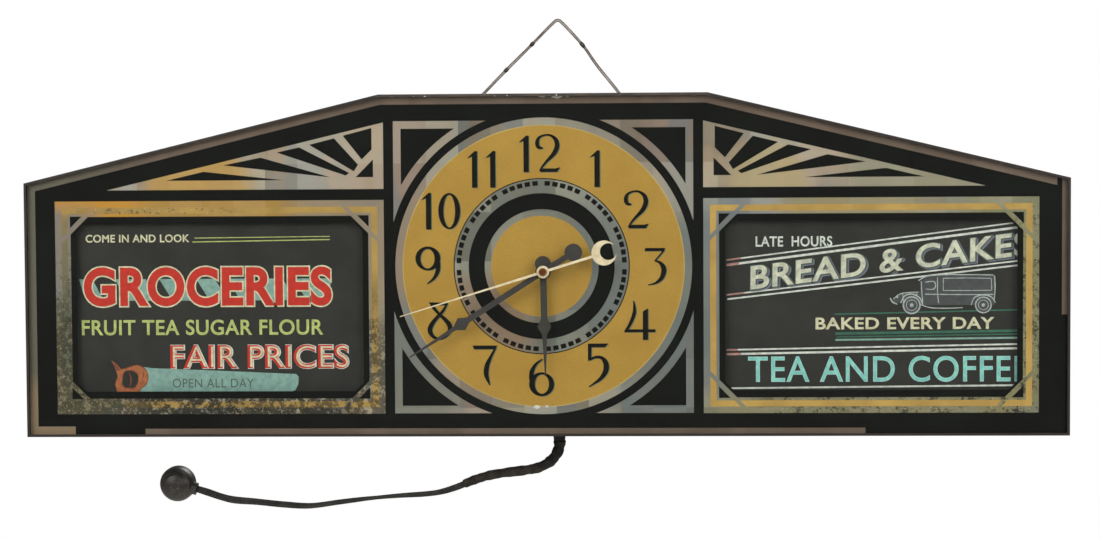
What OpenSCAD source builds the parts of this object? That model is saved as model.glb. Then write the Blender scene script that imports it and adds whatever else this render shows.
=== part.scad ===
// Lighted advertising wall clock: a house-shaped glass front in a sheet metal case,
// with a clock in the middle and a changeable advertising panel behind a window at each side.
// Seen from the front: X to the right, Z up, and the wall behind at +Y.
// Sizes are in millimetres; drawings are made from the middle of the case's bottom edge,
// and place() then moves the whole to its origin, the point where the wire hangs on its nail.

/* [Case] */
// Width of the glass front
front_w = 1000; // [960:10:1040]
// Height of the front at its two ends
end_h = 245; // [240:1:260]
// Height of the front at its flat top
top_h = 328; // [320:1:340]
// Width of the flat top
top_w = 314; // [300:2:340]
// Depth of the case behind the front frame
case_d = 79; // [76:1:90]
// Thickness of the case's sheet metal
sheet = 1; // [0.8:0.1:1.2]
// How far the case walls stand in from the front's edge
case_inset = 8; // [7:0.5:10]

/* [Front] */
// Thickness of the front glass
glass_t = 5; // [4:0.5:6]
// Height of the hands' axis above the bottom edge
arbor_h = 158; // [150:1:165]
// Radius of the hole in the glass for the hands
glass_hole_r = 7; // [6:0.5:8]
// Distance from the middle to the inner edge of each window
window_x0 = 173.7; // [170:0.1:180]
// Distance from the middle to the outer edge of each window
window_x1 = 450.8; // [440:0.1:455]
// Height of the windows' bottom edge
window_z0 = 43.4; // [40:0.1:50]
// Height of the windows' top edge
window_z1 = 205.8; // [200:0.1:210]

/* [Hands] */
// Length of the hour hand from its axis
hour_len = 100; // [90:1:110]
// Length of the minute hand from its axis
minute_len = 152; // [140:1:156]
// Length of the second hand from its axis
second_len = 143; // [130:1:150]
// Clockwise angle of the hour hand from twelve
hour_deg = 179; // [0:1:360]
// Clockwise angle of the minute hand from twelve
minute_deg = 237.6; // [0:0.1:360]
// Clockwise angle of the second hand from twelve
second_deg = 252.9; // [0:0.1:360]

/* [Hanger and cord] */
// Height of the nail above the flat top
hang_rise = 75; // [60:1:90]
// Sideways place of the nail from the middle of the case
hang_x = 12; // [0:1:15]
// Half the distance between the two hanger eyes
eye_x = 82; // [70:1:90]
// Diameter of the twisted hanger wire
wire_d = 3.2; // [2.6:0.1:3.4]
// Diameter of the power cord
cord_d = 7; // [6.5:0.1:7.2]
// Radius of the plug's cap
plug_r = 17.5; // [17:0.5:19]

/* [Hidden] */
$fn = 48;

// The front's outline.
half_w = front_w / 2;
half_top = top_w / 2;
slope_len = norm([half_w - half_top, top_h - end_h]);
slope_nx = (top_h - end_h) / slope_len;
slope_nz = (half_w - half_top) / slope_len;
slope_c = slope_nx * half_w + slope_nz * end_h;

// Places along Y, from the wall to the hands.
wall_y = 8;
wire_y = 4;
cover_t = 0.8;
flange_y = -case_d;
gasket_t = 2;
glass_back = flange_y - 1 - gasket_t;
glass_front = glass_back - glass_t;
lip_y = glass_front - 1;
panel_t = 2.4;
panel_front = flange_y + 1.8;
hour_y = glass_front - 3.5;
minute_y = hour_y - 3;
second_y = minute_y - 3;

// The movement's layers, from its front plate back.
bracket_y = -62;
bracket_t = 2;
plate_t = 1.5;
front_plate_y = -58;
back_plate_y = -34;
hour_pipe_r = 4.5;
minute_pipe_r = 3.25;
second_arbor_r = 1.8;
fit = 0.05;
pivot_r = 0.8;

// The trains: each pair of gears shares one centre distance.
train_dist = 22.5;
motion_dist = 24;
rotor_module = 0.6;
rotor_dist = rotor_module * (15 + 54) / 2;
inter_dir = 150;
motion_dir = -90;
rotor_dir = 30;
m_first = 2 * train_dist / (10 + 75);
m_second = 2 * train_dist / (10 + 80);
m_cannon = 2 * motion_dist / (12 + 36);
m_hour = 2 * motion_dist / (10 + 40);

// The power cord's route from the bushing to the plug, and the wire's from eye to eye.
cord_points = [
    [13, -40, -8], [13, -40, -14], [10.5, -40, -22], [4, -40, -30], [-7, -40, -36],
    [-20, -40, -38.7], [-44, -38, -42], [-59, -37, -45], [-74, -36, -50], [-88, -34, -56],
    [-104, -33, -61], [-120, -31, -63.5], [-147, -29, -65.5], [-177, -27, -68.5],
    [-206, -24, -72.5], [-235, -22, -76.5], [-262, -20, -75.5], [-290, -18, -73],
    [-312, -16, -71.5], [-326, -14.5, -68.5], [-339, -13.3, -64.3], [-351, -13, -60.6]
];
plug_at = [-370, -13, -56];
plug_turn = 14;
exit_x = 13;
exit_y = -40;
wire_top = top_h + hang_rise;
wire_points = [
    [-eye_x - 4, wire_y, top_h - 14], [-eye_x + 1, wire_y, top_h - 14],
    [-eye_x + 6, wire_y, top_h - 11], [-63, wire_y, top_h + 2], [-41, wire_y, top_h + 24.5],
    [-15, wire_y, top_h + 50], [hang_x - 6, wire_y, wire_top - 4], [hang_x, wire_y, wire_top],
    [hang_x + 6, wire_y, wire_top - 4], [37, wire_y, top_h + 50], [51, wire_y, top_h + 30],
    [73, wire_y, top_h + 2], [eye_x - 3, wire_y, top_h - 11], [eye_x + 1, wire_y, top_h - 14],
    [eye_x + 6, wire_y, top_h - 14]
];

// ---- shared shapes ----

module place() translate([-hang_x, -wire_y, -wire_top]) children();

// A flat drawing seen from the front, given depth from y0 (nearer the viewer) to y1.
module slab(y0, y1) translate([0, y1, 0]) rotate([90, 0, 0]) linear_extrude(y1 - y0) children();

// A rod along Y at (x, z).
module rod(x, z, y0, y1, r) translate([x, y1, z]) rotate([90, 0, 0]) cylinder(r = r, h = y1 - y0);

module box(x0, x1, y0, y1, z0, z1) translate([x0, y0, z0]) cube([x1 - x0, y1 - y0, z1 - z0]);

// The front's outline, drawn in from its edge.
function outline(inset) =
    let (x1 = half_w - inset, z2 = top_h - inset,
         z1 = (slope_c - inset - slope_nx * x1) / slope_nz,
         x2 = (slope_c - inset - slope_nz * z2) / slope_nx)
    [[-x1, inset], [x1, inset], [x1, z1], [x2, z2], [-x2, z2], [-x1, z1]];

module ring(outer, inner) difference() {
    polygon(outline(outer));
    polygon(outline(inner));
}

// A point at a distance and a direction from the hands' axis.
function about_arbor(dist, dir) = [dist * cos(dir), arbor_h + dist * sin(dir)];

// Involute gear drawing with one tooth centred on the direction phase.
function inv_deg(rb, r) = let (a = acos(min(1, rb / r))) tan(a) * 180 / PI - a;
function gear_points(n, m, phase) =
    let (rp = m * n / 2, rb = rp * cos(20), ra = rp + 0.6 * m, rf = rp - 0.95 * m,
         half = 360 / n * 0.22,
         flank = [rf, max(rb, rf + 0.05), rp, ra],
         off = [for (r = flank) half + inv_deg(rb, rp) - inv_deg(rb, max(r, rb))])
    [for (i = [0:n - 1]) let (c = phase + i * 360 / n)
        each concat(
            [for (k = [0:3]) [flank[k] * cos(c - off[k]), flank[k] * sin(c - off[k])]],
            [for (k = [3:-1:0]) [flank[k] * cos(c + off[k]), flank[k] * sin(c + off[k])]])];
module gear(n, m, at, phase, y0, y1) translate([at[0], 0, at[1]]) slab(y0, y1)
    polygon(gear_points(n, m, phase));

// A smooth tube through points, ref being a direction the tube never runs along.
function blend(p, i, t) =
    let (n = len(p) - 1, a = p[max(i - 1, 0)], b = p[i], c = p[min(i + 1, n)], d = p[min(i + 2, n)])
    0.5 * (2 * b + (c - a) * t + (2 * a - 5 * b + 4 * c - d) * t * t
        + (3 * b - a - 3 * c + d) * t * t * t);
function route(p, steps) =
    [for (i = [0:len(p) - 2]) for (k = [0:steps - 1]) blend(p, i, k / steps), p[len(p) - 1]];
function unit(v) = v / norm(v);
module tube(points, r, sides, ref, steps) {
    c = route(points, steps);
    last = len(c) - 1;
    rings = [for (i = [0:last]) let (t = unit(c[min(i + 1, last)] - c[max(i - 1, 0)]),
            n = unit(cross(ref, t)), b = cross(t, n))
        each [for (k = [0:sides - 1]) let (a = 360 * k / sides) c[i] + r * (cos(a) * n + sin(a) * b)]];
    polyhedron(rings, concat(
        [[for (k = [0:sides - 1]) k]],
        [for (i = [0:last - 1]) for (k = [0:sides - 1]) let (j = (k + 1) % sides)
            [i * sides + j, i * sides + k, (i + 1) * sides + k, (i + 1) * sides + j]],
        [[for (k = [sides - 1:-1:0]) last * sides + k]]));
}

// ---- case ----

module case_shell() color("#2b2622") place() difference() {
    union() {
        slab(flange_y, 0) ring(case_inset, case_inset + sheet);
        slab(-sheet, 0) ring(case_inset + sheet, case_inset + 14);
        slab(flange_y - 1, flange_y) ring(1.2, case_inset + sheet);
    }
    // slots in the end walls, through which the advertising panels slide out
    for (s = [-1, 1]) box(min(s * half_w, s * (half_w - 14)), max(s * half_w, s * (half_w - 14)),
        panel_front - 1, panel_front + panel_t + 1, window_z0 - 13, window_z1 + 12);
    translate([exit_x, exit_y, case_inset - 1]) cylinder(r = 7.5, h = sheet + 2);
    for (p = cover_screw_points()) rod(p[0], p[1], -2, 1, 1.5);
}

function cover_screw_points() = [
    for (s = [-1, 1]) each [[s * 478, 130], [s * 330, 15], [s * 110, 15], [s * 325, 268], [s * 110, 313]]
];

module vent_slot() {
    box(-3, 3, -1, 2, -12, 12);
    for (z = [-12, 12]) rod(0, z, -1, 2, 3);
}

module back_cover() color("#4a4640") place() difference() {
    slab(0, cover_t) polygon(outline(case_inset + 2));
    for (p = cover_screw_points()) rod(p[0], p[1], -1, 2, 1.8);
    rod(about_arbor(motion_dist, motion_dir)[0], about_arbor(motion_dist, motion_dir)[1], -1, 2, 11);
    // vent slots behind the lamps
    for (s = [-1, 1]) for (x = [240:24:384]) for (z = [70, 170])
        translate([s * x, 0, z]) vent_slot();
}

module back_cover_screws() color("#8d8a84") place() for (p = cover_screw_points()) {
    rod(p[0], p[1], -5, cover_t, 1.45);
    difference() {
        rod(p[0], p[1], cover_t, cover_t + 1.8, 3.4);
        box(p[0] - 4, p[0] + 4, cover_t + 1, cover_t + 3, p[1] - 0.4, p[1] + 0.4);
    }
}

module wall_bumpers() color("#1d1c1b") place() for (s = [-1, 1]) for (z = [32, 225])
    rod(s * 455, z, cover_t, wall_y, 9);

module hanger_eyes() color("#5a564f") place() for (s = [-1, 1]) {
    box(s * eye_x - 6, s * eye_x + 6, cover_t, cover_t + 1, top_h - 32, top_h - 10);
    translate([s * eye_x, wire_y + 0.3, top_h - 14]) rotate([0, 90, 0]) difference() {
        cylinder(r = 3.6, h = 2, center = true);
        cylinder(r = 2.2, h = 3, center = true);
    }
}

module hanger_wire() color("#6d6559") place() tube(wire_points, wire_d / 2, 8, [0, 1, 0], 4);

// ---- front ----

// A rolled channel that grips the glass along the bottom, the ends and the slopes.
module frame_channel() {
    slab(lip_y, flange_y + 1) ring(0, 1);
    slab(lip_y, lip_y + 1) ring(0, 2.5);
    slab(flange_y, flange_y + 1) ring(0, case_inset - 1);
}

module front_frame() color("#2a241f") place() difference() {
    frame_channel();
    box(-half_top - 2, half_top + 2, lip_y - 1, 0, top_h - 12, top_h + 1);
}

module top_rail() color("#33291f") place() intersection() {
    frame_channel();
    box(-half_top - 1.8, half_top + 1.8, lip_y - 1, 0, top_h - 11.8, top_h + 1);
}

module front_glass() color("#90a0a4", 0.5) place() difference() {
    slab(glass_front, glass_back) polygon(outline(1.1));
    rod(0, arbor_h, glass_front - 1, glass_back + 1, glass_hole_r);
}

module glass_gasket() color("#27241f") place() slab(glass_back, glass_back + gasket_t)
    ring(1.1, case_inset + 0.5);

// ---- advertising panels ----

panel_x0 = window_x0 - 9.7;
panel_x1 = half_w - 12;
panel_z0 = window_z0 - 11.4;
panel_z1 = window_z1 + 10.2;

module ad_panel(s) color("#1f2224") place() mirror([s < 0 ? 1 : 0, 0, 0])
    box(panel_x0, panel_x1, panel_front, panel_front + panel_t, panel_z0, panel_z1);
module ad_panel_left() ad_panel(-1);
module ad_panel_right() ad_panel(1);

// Folded metal pull, clipped over the panel's outer end.
module panel_pull(s) color("#8a7a55") place() mirror([s < 0 ? 1 : 0, 0, 0]) difference() {
    box(panel_x1 - 8, panel_x1 + 9, panel_front - 0.6, panel_front + panel_t + 0.6, 110, 140);
    box(panel_x1 - 9, panel_x1, panel_front, panel_front + panel_t, 109, 141);
    rod(panel_x1 + 4.5, 125, panel_front - 2, panel_front + panel_t + 2, 2.6);
}
module panel_pull_left() panel_pull(-1);
module panel_pull_right() panel_pull(1);

baffle_x = 158;
channel_end = half_w - case_inset - sheet;

// Upper and lower U channels in which a panel slides.
module panel_channels(s) color("#b9b5aa") place() mirror([s < 0 ? 1 : 0, 0, 0])
    for (side = [[panel_z0, 1], [panel_z1, -1]]) {
        z = side[0];
        d = side[1];
        base = [z - 1.2 * d, z - 0.4 * d];
        lips = [z - 1.2 * d, z + 5 * d];
        box(baffle_x + 0.5, channel_end, panel_front - 1, panel_front + panel_t + 1, min(base), max(base));
        for (y = [panel_front - 1, panel_front + panel_t + 0.4])
            box(baffle_x + 0.5, channel_end, y, y + 0.6, min(lips), max(lips));
    }
module panel_channels_left() panel_channels(-1);
module panel_channels_right() panel_channels(1);

// ---- lighting ----

lead_y = -25;
lead_z = 20;

// A bent sheet that keeps the lamps' light out of the clock's compartment and throws it forward.
module light_baffle(s) color("#e6e2d6") place() mirror([s < 0 ? 1 : 0, 0, 0]) {
    difference() {
        box(baffle_x - 0.5, baffle_x + 0.5, flange_y + 1.2, -2, 10, 300);
        translate([baffle_x, lead_y, lead_z]) rotate([0, 90, 0]) cylinder(r = 3, h = 3, center = true);
    }
    box(baffle_x - 14, baffle_x - 0.5, -3, -2, 40, 280);
    box(baffle_x + 0.5, 470, -7, -6, 24, 226);
}
module light_baffle_left() light_baffle(-1);
module light_baffle_right() light_baffle(1);

lamp_x = [240, 384];
lamp_y = -40;

module lamp_bracket(s) color("#9c9a92") place() mirror([s < 0 ? 1 : 0, 0, 0]) difference() {
    union() {
        box(215, 410, -60, -8, case_inset + sheet, 10.5);
        box(215, 410, -9.5, -8, 10.5, 22);
    }
    for (x = lamp_x) translate([x, lamp_y, 8]) cylinder(r = 5, h = 4);
}
module lamp_bracket_left() lamp_bracket(-1);
module lamp_bracket_right() lamp_bracket(1);

module at_lamps() for (s = [-1, 1]) for (x = lamp_x) translate([s * x, lamp_y, 0]) children();

module lamp_sockets() color("#1b1a19") place() at_lamps() difference() {
    union() {
        translate([0, 0, 10.5]) cylinder(r = 16, h = 26);
        translate([0, 0, 9.2]) cylinder(r = 4.9, h = 1.4);
    }
    translate([0, 0, 15]) cylinder(r = 13.4, h = 24);
}

module bulb_bases() color("#b98f4a") place() at_lamps() {
    difference() {
        translate([0, 0, 18]) cylinder(r = 12.9, h = 24);
        translate([0, 0, 19]) cylinder(r = 12.2, h = 24);
    }
    translate([0, 0, 15]) cylinder(r = 4, h = 3);
}

// Blown glass tubes with a wall of 1 mm, cemented on their bases.
module bulbs() color("#f4efe0") place() at_lamps() translate([0, 0, 42]) rotate_extrude()
    polygon([[11.8, 0], [13, 8], [15, 18], [15, 92], [13, 99], [9, 103.5], [4, 105.5], [0, 106],
        [0, 105], [3.8, 104.5], [8.4, 102.6], [12.1, 98.5], [14, 91.8], [14, 18.2], [12, 8.2],
        [10.8, 0]]);

module terminal_block() color("#241d17") place() difference() {
    box(-30, 10, -18, -3, 20, 36);
    for (x = [-24, -10, 4]) rod(x, 28, -19, -12, 2);
}

module terminal_screws() color("#c0a35a") place() for (x = [-24, -10, 4]) {
    rod(x, 28, -18, -12, 1.95);
    rod(x, 28, -19.6, -18, 3.6);
}

// Cloth-covered leads from the terminal block to the lamps and the coil.
module internal_wiring() color("#6b5a3a") place() {
    for (s = [-1, 1]) {
        tube([[s == 1 ? 4 : -24, -21.2, 25], [s * 30, -26, 20], [s * 90, -28, 14], [s * 145, lead_y, lead_z],
            [s * 170, lead_y, lead_z], [s * 200, -34, 22], [s * 223.4, -40, 24]], 1.5, 8, [0, 0, 1], 3);
        tube([[s * 256.6, -40, 24], [s * 285, -34, 17], [s * 339, -34, 17], [s * 367.4, -40, 24]],
            1.5, 8, [0, 0, 1], 4);
    }
    tube([[-10, -21.2, 28], [-26, -24, 50], [-43, -24, 90], [-43, -24, 130], [-40.5, -22, 147]],
        1.5, 8, [0, 1, 0], 4);
}

// ---- cord and plug ----

// Rubber and tape strain relief, with a groove that holds it in the case's bottom wall.
module cord_bushing() color("#171615") place() translate([exit_x, exit_y, 0]) difference() {
    union() {
        translate([0, 0, case_inset + sheet]) cylinder(r = 9.5, h = 3);
        translate([0, 0, case_inset]) cylinder(r = 7.4, h = sheet);
        translate([0, 0, case_inset - 3]) cylinder(r = 8.6, h = 3);
        translate([0, 0, -13]) cylinder(r1 = 5.2, r2 = 7, h = case_inset - 3 + 13);
    }
    translate([0, 0, -14]) cylinder(r = cord_d / 2 + 0.1, h = 30);
}

module power_cord() color("#191817") place() tube(cord_points, cord_d / 2, 10, [0, 1, 0], 3);

module at_plug() place() translate(plug_at) rotate([-90, 0, 0]) children();

// Moulded cap, with a collar at its side for the cord; its flat face looks at the wall outlet.
module plug_body() color("#141312") at_plug() difference() {
    union() {
        rotate_extrude() polygon([[0, -13], [5.5, -12.6], [10, -11], [13.8, -8], [16.2, -4],
            [plug_r, 1], [plug_r, 9], [plug_r - 1, 13], [0, 13]]);
        rotate([0, 0, plug_turn]) translate([12.5, 0, 0]) rotate([0, 90, 0]) cylinder(r = 6.2, h = 8);
    }
    translate([0, 0, 11.5]) cylinder(r = plug_r - 2.5, h = 3);
    rotate([0, 0, plug_turn]) translate([plug_r - 0.8, 0, 0]) rotate([0, 90, 0])
        cylinder(r = cord_d / 2 + 0.25, h = 8);
    for (s = [-1, 1]) translate([s * 6.35 - 0.8, -3.3, 3]) cube([1.6, 6.6, 10]);
}

module plug_face() color("#3a2f25") at_plug() difference() {
    translate([0, 0, 12.2]) cylinder(r = plug_r - 2.6, h = 0.8);
    for (s = [-1, 1]) translate([s * 6.35 - 0.9, -3.4, 12]) cube([1.8, 6.8, 2]);
}

module plug_blades() color("#b9a266") at_plug() for (s = [-1, 1]) difference() {
    translate([s * 6.35 - 0.75, -3.2, 3]) cube([1.5, 6.4, 28]);
    translate([s * 6.35 - 1, 0, 27]) rotate([0, 90, 0]) cylinder(r = 1.6, h = 2);
}

// ---- clock movement ----

inter_at = about_arbor(train_dist, inter_dir);
motion_at = about_arbor(motion_dist, motion_dir);
rotor_at = about_arbor(rotor_dist, rotor_dir);
pillar_points = [for (s = [-1, 1]) for (z = [-38, 36]) [s * 38, arbor_h + z]];

// A strap from the case's bottom to its top that carries the movement.
module movement_bracket() color("#8f8c84") place() difference() {
    union() {
        box(-30, 30, bracket_y, bracket_y + bracket_t, case_inset + sheet, top_h - case_inset - sheet);
        for (z = [case_inset + sheet, top_h - case_inset - sheet - bracket_t])
            box(-30, 30, bracket_y + bracket_t, bracket_y + 11.5, z, z + bracket_t);
    }
    rod(0, arbor_h, bracket_y - 1, bracket_y + bracket_t + 1, 6);
}

module bracket_rivets() color("#a8a49a") place() for (x = [-20, 20]) for (side = [0, 1]) {
    z = side == 0 ? case_inset + sheet + bracket_t : top_h - case_inset - sheet - bracket_t;
    translate([x, bracket_y + 6.7, z]) mirror([0, 0, side]) intersection() {
        sphere(3);
        translate([-4, -4, 0]) cube([8, 8, 4]);
    }
}

// Threaded bushing through the strap and the front plate, which carries the hour pipe.
module movement_bushing() color("#c2a25c") place() difference() {
    union() {
        rod(0, arbor_h, bracket_y - 6, front_plate_y + plate_t, 5.95);
        rod(0, arbor_h, bracket_y + bracket_t, front_plate_y, 9);
    }
    rod(0, arbor_h, bracket_y - 7, front_plate_y + 4, hour_pipe_r + fit);
}

module movement_nut() color("#c9b06c") place() difference() {
    translate([0, bracket_y, arbor_h]) rotate([90, 0, 0]) cylinder(r = 10, h = 4, $fn = 6);
    rod(0, arbor_h, bracket_y - 5, bracket_y + 1, 6);
}

module plate_drawing() polygon([[-44, -36], [-36, -44], [36, -44], [44, -36], [44, 34], [36, 42],
    [-36, 42], [-44, 34]]);

module front_plate() color("#c8ab63") place() difference() {
    translate([0, 0, arbor_h]) slab(front_plate_y, front_plate_y + plate_t) plate_drawing();
    rod(0, arbor_h, front_plate_y - 1, front_plate_y + 3, 6);
    for (p = [inter_at, motion_at]) rod(p[0], p[1], front_plate_y - 1, front_plate_y + 3, pivot_r + fit);
}

module back_plate() color("#c8ab63") place() difference() {
    translate([0, 0, arbor_h]) slab(back_plate_y, back_plate_y + plate_t) plate_drawing();
    rod(0, arbor_h, back_plate_y - 1, back_plate_y + 3, second_arbor_r + fit);
    rod(inter_at[0], inter_at[1], back_plate_y - 1, back_plate_y + 3, pivot_r + fit);
    rod(motion_at[0], motion_at[1], back_plate_y - 1, back_plate_y + 3, 1.5 + fit);
    rod(rotor_at[0], rotor_at[1], back_plate_y - 1, back_plate_y + 3, 6.5);
}

module plate_pillars() color("#b7985a") place() for (p = pillar_points) {
    rod(p[0], p[1], front_plate_y + plate_t, back_plate_y, 3);
    rod(p[0], p[1], back_plate_y + plate_t, back_plate_y + plate_t + 2.4, 3.4);
}

// Laminated yoke round the rotor's can, with the coil on its left limb.
module stator_core() color("#5c5f63") place() translate([0, 0, arbor_h]) difference() {
    slab(-27, -17) difference() {
        polygon([[-38, -6], [38, -6], [38, 30], [-38, 30]]);
        polygon([[-28, 3], [-2, 3], [-2, 21], [-28, 21]]);
    }
    rod(rotor_at[0], rotor_at[1] - arbor_h, -30, -10, 12.3);
}

module field_coil() color("#7a3b22") place() translate([-15, 0, arbor_h]) difference() {
    box(-11, 11, -31, -13, -10.2, 7.2);
    box(-12, 12, -27.1, -16.9, -6.1, 3.1);
}

// Sealed can with the motor's reduction gearing in oil.
module rotor_can() color("#b07a45") place() {
    rod(rotor_at[0], rotor_at[1], back_plate_y + plate_t, -10, 12);
}

// One gear body's rigid parts share the arbor they turn on.
module rotor_pinion() color("#d2b670") place() {
    gear(15, rotor_module, rotor_at, rotor_dir + 180 + 12, -37.6, -34.3);
    rod(rotor_at[0], rotor_at[1], -34.3, back_plate_y + plate_t - 0.3, 2.5);
}

module second_arbor() color("#b9b6ae") place() {
    rod(0, arbor_h, second_y - 1.5, back_plate_y + plate_t + 2, second_arbor_r);
    difference() {
        gear(54, rotor_module, [0, arbor_h], rotor_dir, -37, -35.5);
        rod(0, arbor_h, -38, -34, second_arbor_r - 0.01);
    }
    difference() {
        gear(10, m_first, [0, arbor_h], inter_dir, -42, -38);
        rod(0, arbor_h, -43, -37, second_arbor_r - 0.01);
    }
}

module intermediate_wheel() color("#d0b56c") place() {
    gear(75, m_first, inter_at, inter_dir + 180 + 2.4, -40.8, -39.3);
    gear(10, m_second, inter_at, inter_dir + 180, -47, -43);
    rod(inter_at[0], inter_at[1], front_plate_y + plate_t + 0.3, back_plate_y - 0.3, 1.2);
    rod(inter_at[0], inter_at[1], front_plate_y + 0.2, back_plate_y + plate_t - 0.2, pivot_r);
}

module centre_wheel() color("#d0b56c") place() difference() {
    union() {
        gear(80, m_second, [0, arbor_h], inter_dir + 2.25, -46, -44.5);
        rod(0, arbor_h, -47.6, -42.6, 5);
    }
    rod(0, arbor_h, -49, -42, second_arbor_r + fit);
}

// Cannon pipe: carries the minute hand, and slips on the centre wheel when the hands are set.
module minute_arbor() color("#c4b17a") place() difference() {
    union() {
        rod(0, arbor_h, minute_y - 1.5, -50, minute_pipe_r);
        gear(12, m_cannon, [0, arbor_h], motion_dir, -53, -50);
        rod(0, arbor_h, -50, -48, 5);
    }
    rod(0, arbor_h, minute_y - 3, -47, second_arbor_r + fit);
}

module motion_wheel() color("#d0b56c") place() {
    gear(36, m_cannon, motion_at, motion_dir + 180 + 5, -52.3, -50.8);
    gear(10, m_hour, motion_at, motion_dir + 180, -56, -53.2);
    rod(motion_at[0], motion_at[1], front_plate_y + 0.2, front_plate_y + plate_t + 2, pivot_r);
    rod(motion_at[0], motion_at[1], -53.2, -6, 1.5);
}

module hour_wheel() color("#cdb982") place() difference() {
    union() {
        gear(40, m_hour, [0, arbor_h], motion_dir + 4.5, -55.4, -54);
        rod(0, arbor_h, hour_y - 1.5, -54, hour_pipe_r);
    }
    rod(0, arbor_h, hour_y - 3, -53, minute_pipe_r + fit);
}

// Knurled knob for setting the hands from behind.
module set_knob() color("#262423") place() translate([motion_at[0], 0, motion_at[1]]) difference() {
    slab(-6, 5) polygon([for (i = [0:47]) (8.4 + (i % 2) * 0.5) * [cos(i * 7.5), sin(i * 7.5)]]);
    rod(0, 0, 3.5, 6, 5);
}

// ---- hands ----

// A flat hand stamped from sheet, drawn pointing up and turned clockwise to its time.
module hand(deg, y, thick, bore_r) place() translate([0, 0, arbor_h]) rotate([0, deg, 0])
    difference() {
        union() children();
        rod(0, 0, y - 1, y + thick + 1, bore_r);
    }

hand_t = 0.8;
needle_t = 0.6;

// Pointed hand with a diamond part of the way out and a round tail.
module pointed_hand(deg, y, len, shaft_w, diamond_at, diamond_w, tail_at, tail_r, bore_r)
    hand(deg, y, hand_t, bore_r) {
        slab(y, y + hand_t) polygon([[-shaft_w / 2, -tail_at], [-shaft_w / 2, diamond_at - 7.5],
            [-diamond_w / 2, diamond_at], [-shaft_w / 2.6, diamond_at + 7.5], [-0.6, len], [0.6, len],
            [shaft_w / 2.6, diamond_at + 7.5], [diamond_w / 2, diamond_at],
            [shaft_w / 2, diamond_at - 7.5], [shaft_w / 2, -tail_at]]);
        rod(0, -tail_at, y, y + hand_t, tail_r);
        rod(0, 0, y, y + hand_t, bore_r + 3);
    }

module hour_hand() color("#2e2e30")
    pointed_hand(hour_deg, hour_y, hour_len, 6.2, 52.6, 13.5, 7.4, 7.7, hour_pipe_r);

module minute_hand() color("#2e2e30")
    pointed_hand(minute_deg, minute_y, minute_len, 5.6, 92.7, 13.5, 34.4, 8.4, minute_pipe_r);

// Fine needle with a crescent moon as its counterweight.
module second_hand() color("#d9cfae") hand(second_deg, second_y, needle_t, second_arbor_r) {
    slab(second_y, second_y + needle_t) polygon([[-1.2, -51], [-1.2, 0], [-0.4, second_len],
        [0.4, second_len], [1.2, 0], [1.2, -51]]);
    rod(0, 0, second_y, second_y + needle_t, 6);
    difference() {
        rod(0, -61, second_y, second_y + needle_t, 11.9);
        rod(0, -65.3, second_y - 1, second_y + 2, 8);
    }
}

module hub_cap() color("#a8643c") place() difference() {
    rod(0, arbor_h, second_y - 2.6, second_y - 0.02, 3.7);
    rod(0, arbor_h, second_y - 1.5, second_y + 1, second_arbor_r);
}

case_shell();
back_cover();
back_cover_screws();
wall_bumpers();
hanger_eyes();
hanger_wire();
front_frame();
top_rail();
front_glass();
glass_gasket();
ad_panel_left();
ad_panel_right();
panel_pull_left();
panel_pull_right();
panel_channels_left();
panel_channels_right();
light_baffle_left();
light_baffle_right();
lamp_bracket_left();
lamp_bracket_right();
lamp_sockets();
bulb_bases();
bulbs();
terminal_block();
terminal_screws();
internal_wiring();
cord_bushing();
power_cord();
plug_body();
plug_face();
plug_blades();
movement_bracket();
bracket_rivets();
movement_bushing();
movement_nut();
front_plate();
back_plate();
plate_pillars();
stator_core();
field_coil();
rotor_can();
rotor_pinion();
second_arbor();
intermediate_wheel();
centre_wheel();
minute_arbor();
motion_wheel();
hour_wheel();
set_knob();
hour_hand();
minute_hand();
second_hand();
hub_cap();
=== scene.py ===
"""Lighted advertising wall clock: finishes, painted work, cord, light and camera."""
import bpy, math
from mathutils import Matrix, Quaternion, Vector


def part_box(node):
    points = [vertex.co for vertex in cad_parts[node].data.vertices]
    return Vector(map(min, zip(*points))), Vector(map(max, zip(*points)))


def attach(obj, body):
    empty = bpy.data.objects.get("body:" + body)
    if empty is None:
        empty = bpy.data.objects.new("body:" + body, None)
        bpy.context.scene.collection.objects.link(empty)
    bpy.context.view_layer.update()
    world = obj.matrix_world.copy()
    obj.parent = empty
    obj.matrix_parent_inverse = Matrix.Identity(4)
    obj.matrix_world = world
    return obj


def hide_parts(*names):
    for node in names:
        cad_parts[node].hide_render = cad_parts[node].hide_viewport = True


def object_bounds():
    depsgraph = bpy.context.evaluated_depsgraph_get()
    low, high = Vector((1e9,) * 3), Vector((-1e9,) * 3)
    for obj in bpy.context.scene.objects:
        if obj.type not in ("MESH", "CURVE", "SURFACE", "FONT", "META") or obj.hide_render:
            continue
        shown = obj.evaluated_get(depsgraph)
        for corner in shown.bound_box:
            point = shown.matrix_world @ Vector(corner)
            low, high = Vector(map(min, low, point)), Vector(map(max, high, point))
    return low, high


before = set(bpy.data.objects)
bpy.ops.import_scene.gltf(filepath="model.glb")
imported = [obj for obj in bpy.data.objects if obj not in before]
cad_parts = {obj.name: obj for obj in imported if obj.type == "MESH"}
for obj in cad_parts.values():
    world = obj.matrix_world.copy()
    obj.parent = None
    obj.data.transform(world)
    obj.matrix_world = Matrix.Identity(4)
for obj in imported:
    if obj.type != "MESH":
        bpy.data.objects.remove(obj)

cad_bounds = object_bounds()
glass_low, glass_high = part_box("front_glass")
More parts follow.
